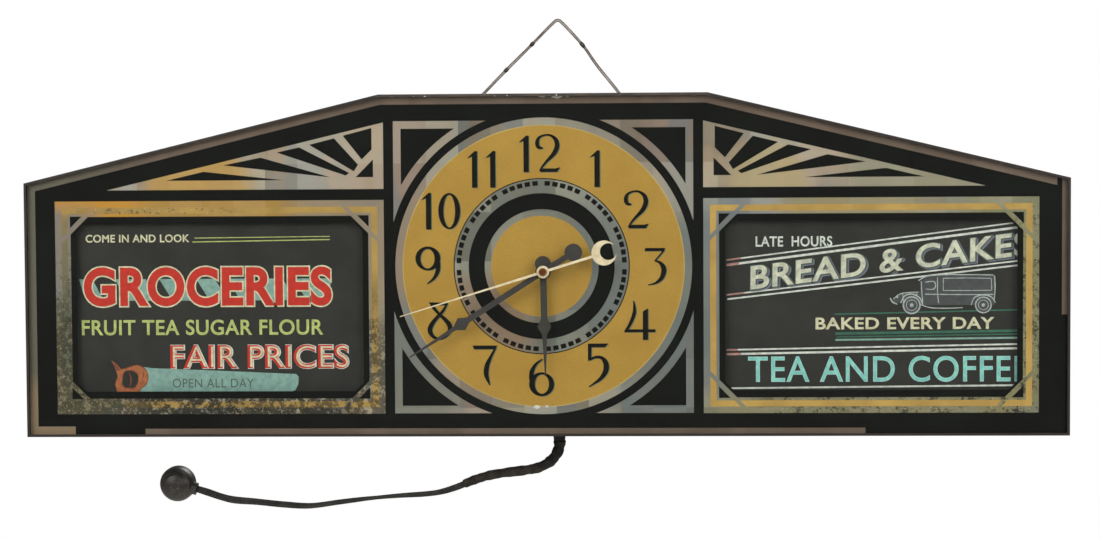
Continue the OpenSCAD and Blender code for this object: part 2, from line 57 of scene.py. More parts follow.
# The middle of the sign's bottom edge, level with the rim of the sheet metal case at the wall, is
# 82 mm behind the glass's back and 1.1 mm below the glass.
rim_behind_glass, edge_under_glass = 0.082, 0.0011
foot_of_sign = Vector(((glass_low.x + glass_high.x) / 2, glass_high.y + rim_behind_glass,
                       glass_low.z - edge_under_glass))


def at(x, y, z):
    """A place in metres, from millimetres right, back and up from the foot of the sign."""
    return foot_of_sign + Vector((x, y, z)) / 1000


# ---- Camera ----
# A long lens a little over two metres away, slightly to the right of the sign and above it.
lens_target = at(6.5, -87, 160)
camera_turn, camera_rise, camera_roll = math.radians(2.2), math.radians(2.5), math.radians(-0.34)
camera_far = 2.19
camera = bpy.data.objects.new("camera", bpy.data.cameras.new("camera"))
bpy.context.scene.collection.objects.link(camera)
camera.data.lens = 75
camera.data.sensor_width = 36
camera.location = lens_target + camera_far * Vector((
    math.sin(camera_turn) * math.cos(camera_rise),
    -math.cos(camera_turn) * math.cos(camera_rise), math.sin(camera_rise)))
tilt = Quaternion((0, 0, 1), camera_roll)
camera.rotation_euler = ((lens_target - camera.location).to_track_quat("-Z", "Y") @ tilt).to_euler()
bpy.context.scene.camera = camera


# ---- Power cord ----
# An old twin rubber cord: two rubber-covered conductors side by side with a groove between them.
# It leaves the case at the bottom and hangs in a slack curve to its plug, which the outlet holds.
def rgb(code):
    """The linear colour of an sRGB hex value."""
    parts = [int(code[i:i + 2], 16) / 255 for i in (0, 2, 4)]
    return [c / 12.92 if c <= 0.04045 else ((c + 0.055) / 1.055) ** 2.4 for c in parts] + [1]


def add(tree, kind, inputs=(), **settings):
    """Adds a node, sets it, and links or fills its inputs."""
    node = tree.nodes.new("ShaderNode" + kind)
    for key, value in settings.items():
        setattr(node, key, value)
    for key, value in dict(inputs).items():
        if isinstance(value, bpy.types.NodeSocket):
            tree.links.new(value, node.inputs[key])
        else:
            node.inputs[key].default_value = value
    return node


def surface(name, main, other, patch, grain, rough, spread=0.08, metal=0.0, depth=0.0, specular=0.5):
    """A finish of two colours in soft patches, with a grain that stirs its roughness and relief.
    patch, grain and depth are in millimetres."""
    finish = bpy.data.materials.new(name)
    finish.use_nodes = True
    tree = finish.node_tree
    shader = tree.nodes["Principled BSDF"]
    shader.inputs["Metallic"].default_value = metal
    if not metal:
        shader.inputs["Specular IOR Level"].default_value = specular
    where = add(tree, "TexCoord").outputs["Object"]
    patches = add(tree, "TexNoise", {"Vector": where, "Scale": 1000 / patch, "Detail": 5, "Roughness": 0.6})
    share = add(tree, "MapRange", {"Value": patches.outputs["Fac"], "From Min": 0.36, "From Max": 0.64})
    colour = add(tree, "Mix", {0: share.outputs[0], 6: rgb(main), 7: rgb(other)}, data_type="RGBA")
    colour.name = "colour"
    tree.links.new(colour.outputs[2], shader.inputs["Base Color"])
    fine = add(tree, "TexNoise", {"Vector": where, "Scale": 1000 / grain, "Detail": 3})
    dull = add(tree, "MapRange", {"Value": fine.outputs["Fac"], "From Min": 0.3, "From Max": 0.7,
                                  "To Min": max(rough - spread, 0.02), "To Max": min(rough + spread, 1)})
    tree.links.new(dull.outputs[0], shader.inputs["Roughness"])
    if depth:
        relief = add(tree, "Bump", {"Height": fine.outputs["Fac"], "Strength": 1.0, "Distance": depth / 1000})
        tree.links.new(relief.outputs[0], shader.inputs["Normal"])
    return finish


def paint(piece, finish):
    """Gives a piece one finish all over."""
    piece.data.materials.clear()
    piece.data.materials.append(finish)


def paint_nodes(finish, *names):
    """Gives CAD nodes one finish all over."""
    for name in names:
        paint(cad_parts[name], finish)


def only(*pieces):
    """Leaves just these selected, the first of them active."""
    bpy.ops.object.select_all(action="DESELECT")
    for piece in pieces:
        piece.select_set(True)
    bpy.context.view_layer.objects.active = pieces[0]


def closed(piece):
    """Merges a mesh's doubled points and turns its faces outwards."""
    only(piece)
    bpy.ops.object.mode_set(mode="EDIT")
    bpy.ops.mesh.select_all(action="SELECT")
    bpy.ops.mesh.remove_doubles(threshold=0.000002)
    bpy.ops.mesh.normals_make_consistent(inside=False)
    bpy.ops.object.mode_set(mode="OBJECT")
    return piece


def smooth_route(points, steps):
    """A smooth line through points, with steps to each stretch."""
    line = []
    for i in range(len(points) - 1):
        a, b = points[max(i - 1, 0)], points[i]
        c, d = points[i + 1], points[min(i + 2, len(points) - 1)]
        for k in range(steps):
            t = k / steps
            line.append([0.5 * (2 * q + (r - p) * t + (2 * p - 5 * q + 4 * r - s) * t * t
                                + (3 * q - p - 3 * r + s) * t ** 3) for p, q, r, s in zip(a, b, c, d)])
    return line + [list(points[-1])]


def tube(name, line, radius, thickness=lambda part: 1.0, section=None, turns=lambda part: 0.0):
    """A round bar along a line of places, or one with the section given, as a closed mesh.
    thickness and turns say how its size and its twist change from start, 0, to end, 1."""
    wire = bpy.data.curves.new(name, "CURVE")
    wire.dimensions = "3D"
    wire.use_fill_caps = True
    wire.bevel_depth = radius
    wire.bevel_resolution = 4
    run = wire.splines.new("POLY")
    run.points.add(len(line) - 1)
    for k, (point, place) in enumerate(zip(run.points, line)):
        part = k / (len(line) - 1)
        point.co = (*place, 1)
        point.radius = thickness(part)
        point.tilt = turns(part)
    if section:
        wire.bevel_mode = "OBJECT"
        wire.bevel_object = section
    piece = bpy.data.objects.new(name, wire)
    bpy.context.scene.collection.objects.link(piece)
    only(piece)
    bpy.ops.object.convert(target="MESH")
    bpy.ops.object.shade_smooth_by_angle(angle=math.radians(50))
    return closed(piece)


# The route from the bushing to the plug's collar, in millimetres from the foot of the sign.
cord_points = [
    (13, -40, -8), (13, -40, -14), (10.5, -40, -22), (4, -40, -30), (-7, -40, -36),
    (-20, -40, -38.7), (-44, -38, -42), (-59, -37, -45), (-74, -36, -50), (-88, -34, -56),
    (-104, -33, -61), (-120, -31, -63.5), (-147, -29, -65.5), (-177, -27, -68.5),
    (-206, -24, -72.5), (-235, -22, -76.5), (-262, -20, -75.5), (-290, -18, -73),
    (-312, -16, -71.5), (-326, -14.5, -68.5), (-339, -13.3, -64.3), (-351, -13, -60.6)]
cord_route = [list(at(*place)) for place in smooth_route(cord_points, 6)]
# Two lobes of rubber, 7 mm across the pair and 3.9 mm thick, thinning to 2.9 mm at the groove.
half_width, half_thick, web_share, lobe_share = 0.0035, 0.0023, 0.62, 0.42
twin_section = bpy.data.curves.new("twin_section", "CURVE")
twin_section.dimensions = "2D"
lobes = []
for k in range(28):
    turn = 2 * math.pi * k / 28
    across, up = half_width * math.cos(turn), half_thick * math.sin(turn)
    lobes.append((across, up * (web_share + lobe_share * min(1, abs(math.cos(turn)) * 1.7)), 0, 1))
outline = twin_section.splines.new("POLY")
outline.points.add(len(lobes) - 1)
for point, place in zip(outline.points, lobes):
    point.co = place
outline.use_cyclic_u = True
section = bpy.data.objects.new("twin_section", twin_section)
bpy.context.scene.collection.objects.link(section)
# The cord is slightly uneven, and twists four and a half turns over the first 0.3 of its length.
twin_cord = tube("twin_cord", cord_route, half_width, section=section,
                 thickness=lambda part: 1 + 0.03 * math.sin(61 * part) + 0.02 * math.sin(23 * part),
                 turns=lambda part: 9 * math.pi * min(part / 0.3, 1) ** 0.8 + 1.2 * math.sin(5 * part))
bpy.data.objects.remove(section)
# Aged black rubber: matt, greyed by dust in patches, with fine cracks in the skin.
aged_rubber = surface("aged_black_rubber", "201f1d", "35332f", 14, 0.7, 0.72, depth=0.12, specular=0.35)
paint(twin_cord, aged_rubber)
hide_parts("power_cord")
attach(twin_cord, "root")

# Friction tape wound round the cord where it leaves the case, in fifteen lumpy, overlapping turns
# that taper off.
tape_radius, tape_line = 0.0044, cord_route[2:52]
cord_tape = tube("cord_tape", tape_line, tape_radius,
                 thickness=lambda part: 1.3 - 0.34 * part ** 0.7 + 0.07 * ((part * 15) % 1)
                 + (0.1 * math.sin(43 * part) + 0.06 * math.sin(97 * part)) * (1 - 0.7 * part))
friction_tape = surface("friction_tape", "191817", "3a332a", 9, 0.5, 0.8, depth=0.15, specular=0.3)
paint(cord_tape, friction_tape)
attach(cord_tape, "root")

# The rubber bushing in the case's bottom wall, and the plug: a pressed dark phenolic cap with a
# fibre face and two brass prongs.
paint_nodes(aged_rubber, "cord_bushing")
# Phenolic plastic, moulded with wood flour: nearly black brown, worn dull, with a faint mottle.
brown_phenolic = surface("worn_brown_phenolic", "211d19", "3a352f", 6, 0.5, 0.42, depth=0.02)
paint_nodes(brown_phenolic, "plug_body")
# Vulcanised fibre, a dense pressed paper board: matt red-brown with a fine felted grain.
paint_nodes(surface("vulcanised_fibre", "4a3526", "5f4632", 8, 0.4, 0.8, depth=0.03), "plug_face")
# Old brass, brushed once and now tarnished: yellow-brown, duller in the patches that were handled.
tarnished_brass = surface("tarnished_brass", "b3954f", "8a6f3c", 5, 0.35, 0.36, metal=1.0, depth=0.01)
paint_nodes(tarnished_brass, "plug_blades")
# An eyelet set in the middle of the cap's front, which is 35 mm across.
cap_radius = 0.0175
plug_low, plug_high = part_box("plug_body")
plug_nose = Vector((plug_low.x + cap_radius, plug_low.y, (plug_low.z + plug_high.z) / 2))
bpy.ops.object.select_all(action="DESELECT")
bpy.ops.mesh.primitive_torus_add(location=plug_nose + Vector((0, 0.0006, 0)), rotation=(math.pi / 2, 0, 0),
                                 major_radius=0.0042, minor_radius=0.0007, major_segments=40,
                                 minor_segments=10)
plug_eyelet = bpy.context.object
plug_eyelet.name = "plug_eyelet"
bpy.ops.object.transform_apply()
bpy.ops.object.shade_smooth()
paint(plug_eyelet, surface("dull_eyelet", "6b6a63", "4c4a44", 3, 0.3, 0.45, metal=1.0))
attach(plug_eyelet, "root")


# ---- Sheet metal case ----
# A folded tray of thin sheet steel, sprayed dark brown-black, with the paint gone thin and dusty.
# The vented back cover is screwed on, and four rubber bumpers keep it off the wall.
paint_nodes(surface("worn_case_enamel", "2b2723", "3b352e", 60, 0.8, 0.5, depth=0.02), "case_shell")
# Thin cover sheet: grey-brown stoving paint, gone patchy with handling.
paint_nodes(surface("cover_enamel", "4b4741", "5a544b", 90, 0.7, 0.55, depth=0.02), "back_cover")
# Zinc-plated screws and brackets: pale grey with a crystalline mottle of a few millimetres.
dull_zinc = surface("dull_zinc_plate", "9a9a96", "7d7d79", 4, 0.5, 0.42, metal=1.0, depth=0.01)
paint_nodes(dull_zinc, "back_cover_screws", "hanger_eyes", "movement_bracket", "bracket_rivets",
            "lamp_bracket_left", "lamp_bracket_right", "panel_channels_left", "panel_channels_right")
# Moulded bumper rubber: black, matt, with a bloom.
paint_nodes(surface("bumper_rubber", "1c1b1a", "2b2a28", 7, 0.5, 0.8, depth=0.05), "wall_bumpers")


# ---- Hanger wire ----
# Two soft steel wires laid side by side, rolling a little over each other, and small crimped collars.
wire_radius, wire_apart, collar_radius = 0.00072, 0.00085, 0.0021
wire_points = [
    (-86, 4, 314), (-81, 4, 314), (-76, 4, 317), (-63, 4, 330), (-41, 4, 352.5), (-15, 4, 378),
    (6, 4, 399), (12, 4, 403), (18, 4, 399), (37, 4, 378), (51, 4, 358), (73, 4, 330),
    (79, 4, 317), (83, 4, 314), (88, 4, 314)]
wire_line = [Vector(at(*place)) for place in smooth_route(wire_points, 14)]
# How far along the wire each place is, in metres.
wire_far = [0.0]
for a, b in zip(wire_line, wire_line[1:]):
    wire_far.append(wire_far[-1] + (b - a).length)
strands = []
for half in (0, math.pi):
    strand_line = []
    for k, place in enumerate(wire_line):
        along = (wire_line[min(k + 1, len(wire_line) - 1)] - wire_line[max(k - 1, 0)]).normalized()
        side = along.cross(Vector((0, 1, 0))).normalized()
        turn = half + 0.5 * math.sin(wire_far[k] * 45)
        across = math.cos(turn) * side + math.sin(turn) * along.cross(side)
        strand_line.append(place + wire_apart * across)
    strands.append(tube("wire_strand", strand_line, wire_radius))
# Each collar's start along the wire and its length, in metres.
collars = []
for start, long in ((0.0605, 0.0055), (0.097, 0.0055), (0.166, 0.007)):
    near = [p for p, far in zip(wire_line, wire_far) if start <= far <= start + long]
    collars.append(tube("wire_collar", near, collar_radius,
                        thickness=lambda part: 0.8 + 0.2 * math.sin(math.pi * part)))
only(*collars)
bpy.ops.object.join()
wire_collars = bpy.context.object
wire_collars.name = "wire_collars"
# Crimped lead collars, gone dark.
paint(wire_collars, surface("dark_lead_collar", "34302c", "48433c", 3, 0.3, 0.6, metal=0.4))
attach(wire_collars, "root")
only(*strands)
bpy.ops.object.join()
twisted_wire = bpy.context.object
twisted_wire.name = "twisted_wire"
# Bare steel wire, dulled to a grey-brown by light rust.
paint(twisted_wire, surface("rusty_steel_wire", "82786d", "685d51", 9, 0.6, 0.6, metal=0.2, depth=0.01))
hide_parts("hanger_wire")
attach(twisted_wire, "root")


# ---- Front frame and top rail ----
# Thin sheet steel rolled round the glass's edge, darkened by age to a brown-black; the rail along
# the flat top is a separate strip, its paint chipped to the pale primer.
paint_nodes(surface("darkened_frame_metal", "1b1612", "2a221b", 45, 0.6, 0.55, metal=0.12, depth=0.02),
            "front_frame")
rail_paint = surface("chipped_rail_paint", "2e2a26", "4a4038", 30, 0.6, 0.5, depth=0.02)
tree = rail_paint.node_tree
chips = add(tree, "TexNoise", {"Vector": tree.nodes["Texture Coordinate"].outputs["Object"],
                               "Scale": 190, "Detail": 4, "Roughness": 0.7})
# Chipped only where the noise is highest.
bare = add(tree, "MapRange", {"Value": chips.outputs["Fac"], "From Min": 0.64, "From Max": 0.68})
chipped = add(tree, "Mix", {0: bare.outputs[0], 6: tree.nodes["colour"].outputs[2], 7: rgb("d8d4cc")},
              data_type="RGBA")
tree.links.new(chipped.outputs[2], tree.nodes["Principled BSDF"].inputs["Base Color"])
paint_nodes(rail_paint, "top_rail")
# A strip of felt that keeps the glass off the metal: dark grey, matt and fibrous.
paint_nodes(surface("grey_felt", "26241f", "38342d", 6, 0.6, 0.95, depth=0.1), "glass_gasket")


# ---- Front glass ----
# A sheet of clear glass cut to the sign's outline, with a hole for the hands. Its back carries all
# the painted and silvered work, separate pieces here, which make it 5 mm thick with the clear pane.
def cut_out(name, layers, front, back, finish, body="root", slot="front_glass"):
    """A thin flat piece from outlines in millimetres on the sign's front. An outline within another
    is a hole in it. Each layer lies a hair in front of the one before."""
    made = []
    for k, outlines in enumerate(layers):
        drawing = bpy.data.curves.new(name, "CURVE")
        drawing.dimensions = "2D"
        drawing.fill_mode = "BOTH"
        drawing.extrude = (back - front) / 2000
        for outline in outlines:
            line = drawing.splines.new("POLY")
            line.points.add(len(outline) - 1)
            for point, (x, z) in zip(line.points, outline):
                point.co = (x / 1000, z / 1000, 0, 1)
            line.use_cyclic_u = True
        piece = bpy.data.objects.new(name, drawing)
        bpy.context.scene.collection.objects.link(piece)
        piece.rotation_euler.x = math.pi / 2
        piece.location = at(0, (front + back) / 2 - 0.008 * k, 0)
        made.append(piece)
    only(*made)
    bpy.ops.object.convert(target="MESH")
    bpy.ops.object.transform_apply()
    if len(made) > 1:
        bpy.ops.object.join()
    piece = closed(bpy.context.object)
    piece.name = name
    paint(piece, finish)
    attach(piece, body)
    return piece


def front_outline(inset):
    """The sign's outline, drawn in from its edge. Its slopes start at the shoulders."""
    across, down = 0.2352, 0.9720
    half_wide, shoulder, tall = 500, 245, 328
    slope = across * half_wide + down * shoulder
    x1, z2 = half_wide - inset, tall - inset
    z1 = (slope - inset - across * x1) / down
    x2 = (slope - inset - down * z2) / across
    return [(-x1, inset), (x1, inset), (x1, z1), (x2, z2), (-x2, z2), (-x1, z1)]


def circle(x, z, radius, sides=128, tall=None):
    """A round or oval outline."""
    tall = tall or radius
    return [(x + radius * math.cos(2 * math.pi * k / sides), z + tall * math.sin(2 * math.pi * k / sides))
            for k in range(sides)]


def rectangle(x0, x1, z0, z1, corner=0):
    """A rectangle, with its corners cut off if corner is given."""
    if not corner:
        return [(x0, z0), (x1, z0), (x1, z1), (x0, z1)]
    return [(x0 + corner, z0), (x1 - corner, z0), (x1, z0 + corner), (x1, z1 - corner),
            (x1 - corner, z1), (x0 + corner, z1), (x0, z1 - corner), (x0, z0 + corner)]


# Clear glass: only its reflection shows, stronger at a glancing angle.
clear_glass = bpy.data.materials.new("clear_plate_glass")
clear_glass.use_nodes = True
tree = clear_glass.node_tree
tree.nodes.remove(tree.nodes["Principled BSDF"])
shine = add(tree, "BsdfGlossy", {"Color": (1, 1, 1, 1), "Roughness": 0.03})
through = add(tree, "BsdfTransparent", {"Color": rgb("fbfdfb")})
glance = add(tree, "LayerWeight", {"Blend": 0.5})
steep = add(tree, "Math", {0: glance.outputs["Facing"], 1: 5.0}, operation="POWER")
share = add(tree, "Math", {0: steep.outputs[0], 1: 0.9, 2: 0.026}, operation="MULTIPLY_ADD")
pane_mix = add(tree, "MixShader", {0: share.outputs[0], 1: through.outputs[0], 2: shine.outputs[0]})
tree.links.new(pane_mix.outputs[0], tree.nodes["Material Output"].inputs["Surface"])
hand_hole = (0, 158)
pane_depth = (-87, -82.75)
glass_pane = cut_out("glass_pane", [[front_outline(1.1), circle(*hand_hole, 7)]], *pane_depth, clear_glass)
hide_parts("front_glass")


# ---- Black backing ----
# The last coat on the back of the glass: opaque black sign enamel over the whole sheet, left off
# at the two windows through which the advertising panels show.
window_x0, window_x1, window_z0, window_z1 = 173.7, 450.8, 43.4, 205.8
# Black enamel seen through glass: deep, faintly green, with cloudy dull areas towards the edges.
black_enamel = surface("black_glass_enamel", "070806", "0f110d", 70, 0.9, 0.6, specular=0.05)
backing_depth = (-82.35, -82.05)
cut_out("black_backing", [[front_outline(1.3), circle(*hand_hole, 7.2)] + [
    rectangle(x0, x1, window_z0, window_z1, 8)
    for x0, x1 in ((-window_x1, -window_x0), (window_x0, window_x1))]], *backing_depth, black_enamel)


# ---- Silvered lines ----
# Chemical silvering left bright between the black: a border strip, a sunburst over each window,
# the spandrel outlines and the dial's rings. Age has turned it brown, pink and yellow in patches,
# except on the border strip, whose brown and dark stretches are a painted reflection of the
# surroundings in the mirror.
def patch_mask(tree, x, z, reach, soft):
    """Strongest within about reach millimetres of a place on the glass's back, and fading to nothing
    over soft millimetres more, with an uneven edge."""
    wobble, glass_back = 0.35, -82
    where = tree.nodes["Texture Coordinate"].outputs["Object"]
    away = add(tree, "VectorMath", {0: where, 1: at(x, glass_back, z)}, operation="DISTANCE")
    cloud = add(tree, "TexNoise", {"Vector": where, "Scale": 40, "Detail": 4})
    shaky = add(tree, "Math", {0: cloud.outputs["Fac"], 1: -wobble * reach / 500, 2: away.outputs["Value"]},
                operation="MULTIPLY_ADD")
    near = reach * (1 - wobble)
    return add(tree, "MapRange", {"Value": shaky.outputs[0], "From Min": near / 1000,
                                  "From Max": (near + soft) / 1000, "To Min": 0.75, "To Max": 0.0}).outputs[0]


def aged_silver(name, tones, stains_and_reflections=(), flaking=(), pours=True):
    """Silvering in two to four tones, changing in upright patches, with tinted patches and flaked stretches.
    Each tint, a stain on most silvering and a painted reflection of the surroundings on the border, is a
    place (x, z), its reach in millimetres and its colour. A stretch of flaking is a place, its reach and how
    much is lost. pours says whether the separate pours of silvering show."""
    finish = surface(name, tones[0], tones[1], 55, 0.6, 0.38, metal=0.25, depth=0.01)
    tree = finish.node_tree
    where = tree.nodes["Texture Coordinate"].outputs["Object"]
    upright = add(tree, "Mapping", {"Vector": where, "Scale": (1, 1, 0.35)})
    colour = tree.nodes["colour"].outputs[2]
    for k, tone in enumerate(tones[2:]):
        blots = add(tree, "TexNoise", {"Vector": upright.outputs[0], "Scale": 19 + 8 * k, "Detail": 2,
                                       "Distortion": 0.3})
        share = add(tree, "MapRange", {"Value": blots.outputs["Fac"], "From Min": 0.5, "From Max": 0.58,
                                       "To Max": 0.6})
        colour = add(tree, "Mix", {0: share.outputs[0], 6: colour, 7: rgb(tone)},
                     data_type="RGBA").outputs[2]
    # Small upright areas that differ slightly, where one pour of the silvering met the next.
    area = add(tree, "VectorMath", {0: where, 1: (0.031, 1.0, 0.047)}, operation="SNAP")
    chance = add(tree, "TexWhiteNoise", {"Vector": area.outputs[0]}, noise_dimensions="3D")
    lift = add(tree, "MapRange", {"Value": chance.outputs["Value"], "To Min": -0.32 if pours else -0.02,
                                  "To Max": 0.5 if pours else 0.02})
    lighter = add(tree, "Mix", {0: lift.outputs[0], 6: colour, 7: rgb("c9bfae")}, data_type="RGBA",
                  clamp_factor=True)
    darker = add(tree, "Math", {0: lift.outputs[0], 1: -1.0}, operation="MULTIPLY")
    colour = add(tree, "Mix", {0: darker.outputs[0], 6: lighter.outputs[2], 7: rgb("4a4238")},
                 data_type="RGBA", clamp_factor=True).outputs[2]
    # Tinted patches: stains, and on the border strip a painted reflection of the surroundings.
    for x, z, reach, tone in stains_and_reflections:
        tinted = patch_mask(tree, x, z, reach, reach * 0.5)
        colour = add(tree, "Mix", {0: tinted, 6: colour, 7: rgb(tone)}, data_type="RGBA").outputs[2]
    for x, z, reach, amount in flaking:
        # Dark where the silver is lost, and pale where a loose flake still hangs on.
        worn = patch_mask(tree, x, z, reach, reach * 0.4)
        specks = add(tree, "TexNoise", {"Vector": where, "Scale": 170, "Detail": 7, "Roughness": 0.78})
        lost = add(tree, "MapRange", {"Value": specks.outputs["Fac"], "From Min": 0.58 - 0.13 * amount,
                                      "From Max": 0.61 - 0.13 * amount})
        here = add(tree, "Math", {0: lost.outputs[0], 1: worn}, operation="MULTIPLY")
        colour = add(tree, "Mix", {0: here.outputs[0], 6: colour, 7: rgb("24221a")},
                     data_type="RGBA").outputs[2]
        flakes = add(tree, "TexNoise", {"Vector": where, "Scale": 520, "Detail": 3})
        pale = add(tree, "MapRange", {"Value": flakes.outputs["Fac"], "From Min": 0.63, "From Max": 0.66})
        there = add(tree, "Math", {0: pale.outputs[0], 1: worn}, operation="MULTIPLY")
        colour = add(tree, "Mix", {0: there.outputs[0], 6: colour, 7: rgb("d2bf92")},
                     data_type="RGBA").outputs[2]
    tree.links.new(colour, tree.nodes["Principled BSDF"].inputs["Base Color"])
    return finish


def mirrored(side, outlines):
    """Outlines as drawn, or swapped left for right when side is -1."""
    return [[(side * x, z) for x, z in outline] for outline in outlines]


# How deep the two main coats lie, front and back, in millimetres before the rim at the wall.
ink, silver = (-82.70, -82.64), (-82.58, -82.48)
# The border strip's brown tones and its olive and pale brown patches are a painted reflection of brown
# surroundings in the mirror border.
border_painted_reflection = aged_silver("border_silvering_painted_reflection", ("7b675a", "715c50", "866f62"),
                            stains_and_reflections=[(-497, 130, 120, "6c6a5c"), (-475, 5, 40, "a08468")], pours=False)
cut_out("border_strip", [[front_outline(2), front_outline(9.6)]], *silver, border_painted_reflection)
# Stretches of the border painted black: a painted reflection of dark surroundings in the mirror border, and a
# strip that makes the bottom side narrower.
cut_out("border_strip_dark_reflection", [
    [rectangle(-454, -386, 1.5, 10.5)], [rectangle(307, 492, 1.5, 10.5)],
    [rectangle(489.5, 498.6, 1.5, 115)], [rectangle(488, 492.8, 114, 246)],
    [rectangle(-386, 489, 7.4, 10.5)]], *ink, black_enamel)
# Bare spots at the top edge and under the dial, where the coats have come away to a pale primer.
bare_depth = (-82.76, -82.72)
cut_out("bare_spots", [[
    [(-4, 325), (1, 324), (5, 326.6), (-2, 327)], [(8, 324.4), (15, 322.8), (20, 325.4), (13, 326.8)],
    [(21.5, 325.6), (24, 324), (27, 326.4), (23, 327)], [(-11, 27), (-6.5, 25.6), (-3, 28.4), (-8, 29.8)],
    [(0.5, 28.2), (3.4, 27), (4.6, 29), (1.6, 29.6)]]], *bare_depth,
        surface("bare_primer", "dcd8cd", "b9b3a4", 4, 0.4, 0.7, depth=0.02))

# The sunburst over each window: one silvered triangle with black wedges laid out like rays.
sunburst_silver = aged_silver("sunburst_silvering", ("b2a08c", "9c8a79", "a7a6a8", "c3a58c"),
                              stains_and_reflections=[(-335, 243, 42, "c7963c"), (350, 243, 50, "9c9580"),
                                      (215, 245, 30, "bfa77c")])
wedges = [
    [(-191.8, 289), (-164.1, 296.2), (-164.1, 275.7), (-173.7, 266.1)],
    [(-224.3, 280.5), (-200.2, 286.5), (-177.3, 261.3), (-181.4, 254.8)],
    [(-255.6, 273.3), (-233.9, 278.1), (-185.8, 253.3), (-189.4, 250.9)],
    [(-307.4, 261.3), (-271.2, 268.5), (-203.8, 249.2)],
    [(-362.7, 246.8), (-326.6, 255.2), (-249.6, 246.8)],
    [(-162.9, 266.1), (-162.9, 249.2), (-179.7, 249.2)]]
triangle = [(-153, 237.8), (-420.6, 237.8), (-153, 301.4)]
for side, hand in ((1, "left"), (-1, "right")):
    cut_out("sunburst_" + hand, [mirrored(side, [triangle] + wedges)], *silver, sunburst_silver)

# Four spandrels between the round dial and its square: silver outlines round black corners.
dial = (0, 163)
spandrel_silver = aged_silver("spandrel_silvering", ("9c8d80", "8c7768", "b09488", "7f878c"),
                              stains_and_reflections=[(-130, 60, 45, "7f8079"), (130, 60, 60, "6e7679")])


def spandrel(side, level, edge, radius):
    """One spandrel's outline: square at the corner and hollow towards the dial. level is 1 above the
    dial and -1 below it, edge is the outline's inset, and radius is that of its hollow side."""
    square_top, square_foot, half_square = 302.5, 21.8, 143.5
    height = abs((square_top if level > 0 else square_foot) - dial[1]) - edge
    wide = half_square - edge
    start, stop = math.asin(min(1, height / radius)), math.acos(min(1, wide / radius))
    turns = [start + (stop - start) * k / 24 for k in range(25)]
    arc = [(radius * math.cos(turn), radius * math.sin(turn)) for turn in turns]
    return [(side * x, dial[1] + level * z) for x, z in [(wide, height)] + arc]


cut_out("spandrels", [[spandrel(side, level, 0, 149.8), spandrel(side, level, 7.3, 157)]
                      for side in (-1, 1) for level in (-1, 1)], *silver, spandrel_silver)


# ---- Dial ----
# Gold bronze paint on the back of the glass, ringed with silver; the numerals are black, edged
# on one side with a thin grey-green shade line, and the minute track is cut through its ring.
# The minute track was painted a little to the left of the dial.
track = (-1.7, 163)
# Bronze powder paint: mustard gold with a fine glitter and a slightly cloudy lay.
dial_gold = surface("gold_bronze_paint", "c1963d", "b88c35", 40, 0.7, 0.55, metal=0.2, depth=0.015)
tree = dial_gold.node_tree
glitter = add(tree, "TexNoise", {"Vector": tree.nodes["Texture Coordinate"].outputs["Object"],
                                 "Scale": 900, "Detail": 2})
glint = add(tree, "MapRange", {"Value": glitter.outputs["Fac"], "From Min": 0.4, "From Max": 0.62,
                               "To Min": 0.0, "To Max": 0.55})
glittered = add(tree, "Mix", {0: glint.outputs[0], 6: tree.nodes["colour"].outputs[2], 7: rgb("a0782a")},
                data_type="RGBA")
tree.links.new(glittered.outputs[2], tree.nodes["Principled BSDF"].inputs["Base Color"])
dial_silver = aged_silver("dial_silvering", ("9a9082", "948576", "a89184", "80868a"),
                          stains_and_reflections=[(138, 120, 70, "6f7674"), (-138, 180, 40, "a38a74")])
ring_radius, gold_radius, inner_gold_radius = 142.2, 135.2, 48.4
cut_out("dial_ring", [[circle(*dial, ring_radius), circle(*dial, gold_radius)]], *silver, dial_silver)
cut_out("dial_gold", [[circle(*dial, 135), circle(*track, 84.2)],
                      [circle(*track, inner_gold_radius), circle(*hand_hole, 7.2)]], *silver, dial_gold)
edge_depth = (-82.62, -82.58)
cut_out("dial_gold_edge", [[circle(*dial, gold_radius), circle(*dial, 134.4)]], *edge_depth,
        surface("pale_gold_line", "c8ab6a", "b89a58", 20, 0.5, 0.5))
track_silver = aged_silver("track_silvering", ("908b80", "858178", "96836f", "7f857f"),
                           stains_and_reflections=[(-60, 105, 40, "9a7c66"), (70, 160, 50, "75797a")])
cut_out("minute_ring", [[circle(*track, 83.6), circle(*track, 69.4)],
                        [circle(*track, 54.6), circle(*track, inner_gold_radius)]], *silver, track_silver)
black_ink = surface("black_numeral_enamel", "0a0a08", "12120e", 12, 0.6, 0.6, specular=0.05)
# Five black blocks to each hour's space, flaring outwards.
dashes = []
for hour in range(12):
    for minute in (-2, -1, 0, 1, 2):
        turn = math.radians(30 * hour + 15 + 5.4 * minute)
        across, out = Vector((math.cos(turn), -math.sin(turn))), Vector((math.sin(turn), math.cos(turn)))
        centre = Vector(track)
        dashes.append([tuple(centre + out * r + across * w) for r, w in
                       ((77.2, -2.5), (77.2, 2.5), (81.6, 2.7), (81.6, -2.7))])
cut_out("minute_track", [dashes, [circle(*track, 84.4), circle(*track, 83.5)],
                         [circle(*track, 69.9), circle(*track, 69.0)]], *ink, black_ink)


def brush(points, steps=6):
    """The outline of one brush stroke through (x, z, width) points."""
    line = smooth_route(points, steps)
    left, right = [], []
    for k, (x, z, width) in enumerate(line):
        a, b = line[max(k - 1, 0)], line[min(k + 1, len(line) - 1)]
        along = Vector((b[0] - a[0], b[1] - a[1])).normalized()
        left.append((x - along.y * width / 2, z + along.x * width / 2))
        right.append((x + along.y * width / 2, z - along.x * width / 2))
    return left + right[::-1]


